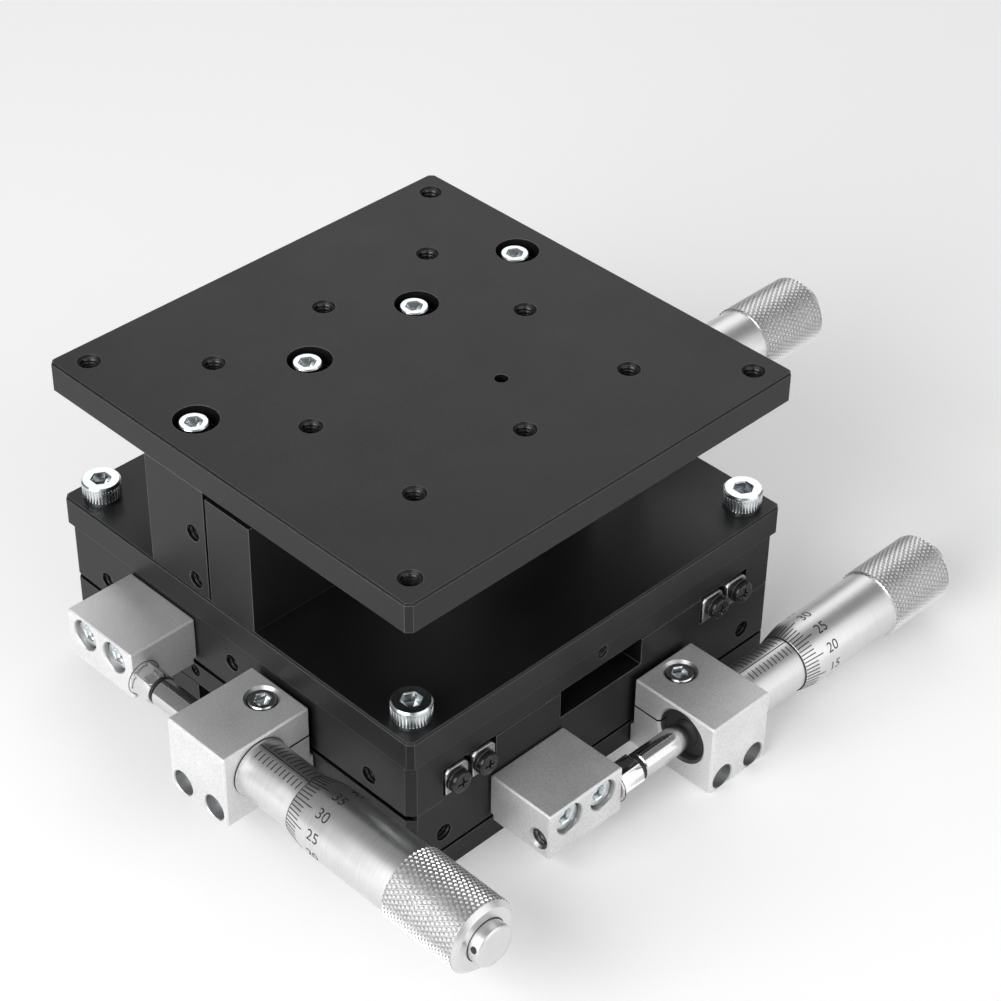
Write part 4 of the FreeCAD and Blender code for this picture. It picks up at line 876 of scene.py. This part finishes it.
thimble_front, front_break, bevel_length = 38.2, 0.08, 3.9
bevel_radius, thimble_radius = 5.5, 6.3
sleeve_radius, wall_start, neck_bore, thimble_bore = 5.25, 72.2, 2.05, 5.3
knurl_start, knurl_stop, knurl_radius = 62, 77.3, 6.7
knurl_lead, knurl_step, root_step, end_step = 0.15, 0.03, 0.12, 0.14
diamonds, diamond_rows, diamond_depth, diamond_flat, diamond_sink = 46, 20, 0.36, 0.42, 0.03
thimble_end, thimble_end_radius, end_break, end_flare = 78.2, 5.8, 0.1, 0.04
thimble_steps = 128


def head_place(axis):
    """Local X runs from the spindle's tip to the knob, local Z is up."""
    low, high = box_mm(axis + "_spindle")
    middle = (low + high) / 2
    if axis == "y":
        turn = Matrix.Rotation(math.radians(-90), 4, "Z")
        return Matrix.Translation((middle.x, high.y, middle.z)) @ turn
    return Matrix.Translation((low.x, middle.y, middle.z))


def thimble_surface(station):
    """The thimble's outer radius along its bevel and plain barrel."""
    share = min((station - thimble_front) / bevel_length, 1)
    return bevel_radius + share * (thimble_radius - bevel_radius)


def diamond_knurl(made, place):
    """Flat-topped diamonds in rows round the barrel, each row half a step on."""
    row_step = (knurl_stop - knurl_start) / diamond_rows
    levels = ((knurl_radius - diamond_depth - diamond_sink, 1), (knurl_radius, diamond_flat))
    for j in range(diamond_rows + 1):
        for i in range(diamonds):
            rings = []
            for radius, size in levels:
                ring = []
                for along, across in ((-1, 0), (0, 0.5), (1, 0), (0, -0.5)):
                    station = knurl_start + (j + size * along) * row_step
                    station = min(max(station, knurl_start), knurl_stop)
                    angle = math.tau * (i + j % 2 / 2 + size * across) / diamonds
                    ring.append(made.verts.new(around(place, station, radius, angle)))
                rings.append(ring)
            skin(made, rings)


def thimble(axis, place):
    """The hollow thimble with its bevelled front, knurled grip and rounded end."""
    made = bmesh.new()
    root = knurl_radius - diamond_depth
    turned(made, place, [
        (wall_start, neck_bore), (wall_start, thimble_bore), (thimble_front, thimble_bore),
        (thimble_front, bevel_radius - front_break), (thimble_front + front_break, bevel_radius),
        (thimble_front + bevel_length, thimble_radius), (knurl_start - knurl_lead, thimble_radius),
        (knurl_start, root + root_step), (knurl_start + knurl_step, root), (knurl_stop, root),
        (knurl_stop + knurl_step, knurl_radius - end_step),
        (thimble_end - end_break, thimble_end_radius + end_flare),
        (thimble_end, thimble_end_radius - end_break), (thimble_end, neck_bore),
    ], thimble_steps, tube=True)
    diamond_knurl(made, place)
    detail(axis + "_thimble", made, chrome[axis], axis + "_thimble_body", 25)


def patch(made, place, surface, stations, angles, bends=1):
    """A closed patch of ink on a turned surface, between stations and angles."""
    first, last = angles
    rings = []
    for lift in (-ink_and_shade_sink, ink_and_shade_lift):
        ring = []
        for station, steps in zip(stations, (range(bends + 1), range(bends, -1, -1))):
            for j in steps:
                angle = math.radians(first + (last - first) * j / bends)
                ring.append(made.verts.new(around(place, station, surface(station) + lift, angle)))
        for j in range(bends):
            made.faces.new((ring[j], ring[-1 - j], ring[-2 - j], ring[j + 1]))
        rings.append(ring)
    skin(made, rings, capped=False)


divisions, numbered, reading = 50, 5, {"x": 28.0, "y": 34.9, "z": 20.0}
top_angle, scale_inset = 90, 0.1
short_tick, long_tick, tick_width = 2.9, 4.3, 0.2
numeral_height, numeral_station, numeral_slices, numeral_thickness = 2.15, 6.9, 8, 0.02


def along_angle(width, radius):
    """The angle that a width takes up on a surface."""
    return math.degrees(width / radius)


def numeral(made, place, number, angle):
    """A number laid round the barrel: it reads towards the knob."""
    words = bpy.data.curves.new("numeral", "FONT")
    words.body = str(number)
    words.align_x = "CENTER"
    words.align_y = "CENTER"
    words.extrude = numeral_thickness
    shown = bpy.data.objects.new("numeral", words)
    flat = bpy.data.meshes.new_from_object(shown)
    size = numeral_height / max(v.co.y for v in flat.vertices) / 2
    digits = bmesh.new()
    digits.from_mesh(flat)
    for i in range(1, numeral_slices):
        height = (i / numeral_slices - 0.5) * numeral_height / size
        geometry = digits.verts[:] + digits.edges[:] + digits.faces[:]
        bmesh.ops.bisect_plane(digits, geom=geometry, plane_co=(0, height, 0),
                               plane_no=(0, 1, 0))
    for vert in digits.verts:
        station = thimble_front + numeral_station + vert.co.x * size
        radius = thimble_radius + (ink_and_shade_lift if vert.co.z > 0 else -ink_and_shade_sink)
        across = math.radians(angle) - vert.co.y * size / thimble_radius
        vert.co = around(place, station, radius, across)
    laid = bpy.data.meshes.new("numeral_laid")
    digits.to_mesh(laid)
    digits.free()
    made.from_mesh(laid)
    for unused in (laid, flat):
        bpy.data.meshes.remove(unused)
    bpy.data.objects.remove(shown)
    bpy.data.curves.remove(words)


def thimble_scale(axis, place):
    """Fifty divisions on the bevel, with a number at every fifth."""
    made = bmesh.new()
    half = along_angle(tick_width, thimble_radius) / 2
    for i in range(divisions):
        angle = top_angle + (reading[axis] - i) * 360 / divisions
        reach = short_tick if i % numbered else long_tick
        bevel_reach = thimble_front + min(reach, bevel_length)
        spread = (angle - half, angle + half)
        patch(made, place, thimble_surface, (thimble_front + scale_inset, bevel_reach), spread)
        if reach > bevel_length:
            patch(made, place, thimble_surface, (bevel_reach, thimble_front + reach), spread)
        if i % numbered == 0:
            numeral(made, place, i, angle)
    mesh_piece(axis + "_thimble_scale", made, ink_and_shade, axis + "_thimble_body")


first_tick, tick_count, datum_lead = 27.1, 26, 1.3
outer_row, inner_row, tick_bends = (9, 27), (-32, -5), 6


def sleeve_scale(axis, place):
    """The datum line with whole millimetres on one side and halves on the other."""
    made = bmesh.new()
    half = along_angle(tick_width, sleeve_radius) / 2

    def sleeve_surface(station):
        return sleeve_radius

    patch(made, place, sleeve_surface, (first_tick - datum_lead, first_tick + tick_count),
          (top_angle - half, top_angle + half))
    for i in range(tick_count):
        for row, shift in ((outer_row, 0), (inner_row, 0.5)):
            station = first_tick + shift + i
            patch(made, place, sleeve_surface,
                  (station - tick_width / 2, station + tick_width / 2),
                  (top_angle + row[0], top_angle + row[1]), tick_bends)
    mesh_piece(axis + "_sleeve_scale", made, ink_and_shade, holder_body[axis])


cap_radius, cap_end, cap_sink = 3.8, 80.5, 0.3
cap_rim = ((0.3, 0), (0.08, 0.2), (0, 0.36), (0, 1.5))


def end_cap(axis, place):
    """The small cap that clamps the thimble to the spindle."""
    made = bmesh.new()
    turned(made, place, [(thimble_end - cap_sink, cap_radius)] + [
        (cap_end - down, cap_radius - inset) for down, inset in cap_rim])
    detail(axis + "_cap", made, chrome[axis], axis + "_thimble_body")


# The painted shadow ring in the gap in front of the thimble and the one round the cap: each
# one's two stations and its inner and outer radius.
gap_shadow_rings = (
    (thimble_front - 0.08, thimble_front, sleeve_radius - 0.05, bevel_radius - 0.02),
    (thimble_end - 0.05, thimble_end + 0.02, cap_radius - 0.1, cap_radius + 0.2),
)
pin_radius, pin_angle, pin_station, pin_steps = 0.62, math.radians(162), 1.15, 24


def ring(made, place, start, stop, inner, outer):
    """A plain ring about local X."""
    turned(made, place, [(start, inner), (start, outer), (stop, outer), (stop, inner)],
           tube=True)


def knob_shadows(axis, place):
    """Painted shadow: black rings in the gaps in front of the thimble and round the cap, and a
    black patch for the cap's pin hole.
    """
    made = bmesh.new()
    for gap_shadow in gap_shadow_rings:
        ring(made, place, *gap_shadow)
    levels = []
    for lift in (-ink_and_shade_sink, ink_and_shade_lift):
        level = []
        for i in range(pin_steps):
            bend = math.tau * i / pin_steps
            station = thimble_end + pin_station + pin_radius * math.cos(bend)
            angle = pin_angle + pin_radius * math.sin(bend) / cap_radius
            level.append(made.verts.new(around(place, station, cap_radius + lift, angle)))
        for i in range(-pin_steps // 4, pin_steps // 4):
            k = pin_steps // 2 - i
            strip = (level[i], level[i + 1], level[k - 1], level[k])
            made.faces.new(list(dict.fromkeys(strip)))
        levels.append(level)
    skin(made, levels, capped=False)
    mesh_piece(axis + "_knob_shadows", made, ink_and_shade, axis + "_thimble_body")


spindle_radius, tip_chamfer, stem_start, stem_radius = 2.5, 0.35, 72, 2
anvil_flats, anvil_bevel, anvil_shank, anvil_break, anvil_rim = 5.5, 0.3, 1.4, 0.02, 0.1
anvil_turn = {"x": 0, "y": 12, "z": 0}
# The black disc of painted shadow at each anvil's tip: its length and radius, then the ring of
# painted shadow round a stop block anvil's foot.
tip_shadow_length = {"x": 0.95, "y": 0.3, "z": 0.6}
tip_shadow_radius, foot_inner, foot_outer, foot_half = 2.48, 3.2, 3.32, 0.05
# The ring of painted shadow at each sleeve's collar, and the black disc of painted shade at its
# front end.
ring_station, ring_bore, ring_reach, ring_width = 25.38, 5.2, 5.54, 0.22
nose_station, nose_end, nose_bore, nose_radius, nose_break = 12.6, 13, 2.56, 4.9, 0.2


def spindle(axis, place):
    """The ground spindle with its bevelled tip."""
    made = bmesh.new()
    low, high = box_mm(axis + "_spindle")
    length = max(high - low)
    turned(made, place, [
        (0, spindle_radius - tip_chamfer), (tip_chamfer, spindle_radius),
        (stem_start, spindle_radius), (stem_start, stem_radius), (length, stem_radius),
    ])
    detail(axis + "_spindle", made, polished_steel, axis + "_spindle_body")


def anvil(axis, place, body):
    """A hexagon button with its corners bevelled at both ends, on a round shank. A black disc of
    painted shadow lies in the gap at its tip, and on a stop block a thin ring of painted shadow
    shows round its foot."""
    low, high = box_mm(axis + "_anvil")
    shank_end, tip = sorted((place.inverted() @ corner).x for corner in (low, high))
    seat, front = shank_end + shank_depth, tip - tip_shadow_length[axis]
    hexed = hexagon(anvil_flats, round_steps)
    short = [min(reach, anvil_flats / 2 + anvil_break) for reach in hexed]
    made = bmesh.new()
    turn = Matrix.Rotation(math.radians(anvil_turn[axis]), 4, "X")
    turned(made, place @ turn, [
        (shank_end, anvil_shank), (seat, anvil_shank), (seat, short),
        (seat + anvil_bevel, hexed), (front - anvil_bevel, hexed),
        (front - anvil_break, short), (front, [reach - anvil_rim for reach in short]),
    ])
    detail(axis + "_anvil", made, polished_steel, body)
    made = bmesh.new()
    turned(made, place, [(front - foot_half, tip_shadow_radius), (tip, tip_shadow_radius)])
    if axis in stops:
        ring(made, place, seat - foot_half, seat + foot_half, foot_inner, foot_outer)
    mesh_piece(axis + "_anvil_shade", made, ink_and_shade, body)


def bore_ring(axis, place):
    """A black ring of painted shadow in the gap between a sleeve's collar and its holder, and a
    black disc of painted shade over the bore's mouth that the spindle comes out of."""
    made = bmesh.new()
    ring(made, place, ring_station, ring_station + ring_width, ring_bore, ring_reach)
    turned(made, place, [
        (nose_station, nose_bore), (nose_station, nose_radius - nose_break),
        (nose_station + nose_break, nose_radius), (nose_end, nose_radius), (nose_end, nose_bore),
    ], tube=True)
    mesh_piece(axis + "_sleeve_ring", made, ink_and_shade, holder_body[axis])


anvil_body = {**stop_body, "z": "z_wedge"}
for axis in ("x", "y", "z"):
    paint(chrome[axis], axis + "_sleeve")
    place = head_place(axis)
    spindle(axis, place)
    anvil(axis, place, anvil_body[axis])
    bore_ring(axis, place)
    thimble(axis, place)
    thimble_scale(axis, place)
    sleeve_scale(axis, place)
    end_cap(axis, place)
    knob_shadows(axis, place)


# Return springs
# Music wire coils in the channels of the base and of the mid plate. On the stage each is
# hooked over a post on either side of its slide and pulls the carriage against its spindle;
# here each coil is a fixed mesh that rides on neither body.
# The wire's edges carry a painted highlight.
spring_wire = metal(
    "spring_wire", dark=(0.35, 0.35, 0.36), light=(0.5, 0.5, 0.51), smooth=0.2, rough=0.35,
    relief=0.004, edge=0.7, edge_radius=0.05)
coil_turns, wire_radius, coil_steps = 46, 0.25, 20
springs = {"x": ("base", "x_carriage"), "y": ("x_carriage", "y_carriage")}
for axis, (one, other) in springs.items():
    low, high = box_mm(axis + "_spring")
    along = 0 if axis == "x" else 1
    middle = (low + high) / 2
    reach = (high[along] - low[along]) / 2
    coil_radius = (high.z - low.z) / 2 - wire_radius
    points = []
    count = coil_turns * coil_steps
    for i in range(count + 1):
        angle = math.tau * i / coil_steps
        points.append(laid(along, (2 * i / count - 1) * (reach - wire_radius),
                           coil_radius * math.cos(angle),
                           middle.z + coil_radius * math.sin(angle)))
    curve = bpy.data.curves.new("coil", "CURVE")
    curve.dimensions = "3D"
    curve.bevel_depth = wire_radius * MM
    curve.bevel_resolution = 3
    curve.use_fill_caps = True
    spline = curve.splines.new("POLY")
    spline.points.add(len(points) - 1)
    for item, point in zip(spline.points, points):
        item.co = (*(point * MM), 1)
    drawn = bpy.data.objects.new("coil", curve)
    mesh = bpy.data.meshes.new_from_object(drawn)
    bpy.data.objects.remove(drawn)
    bpy.data.curves.remove(curve)
    mesh.materials.clear()
    mesh.materials.append(spring_wire)
    mesh.shade_smooth()
    piece = bpy.data.objects.new(axis + "_spring_coil", mesh)
    into_scene(piece)
    far = -reach if along else reach
    start, end = laid(along, far, 0, middle.z), laid(along, -far, 0, middle.z)
    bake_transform(piece)
    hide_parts(axis + "_spring")


bpy.context.view_layer.update()
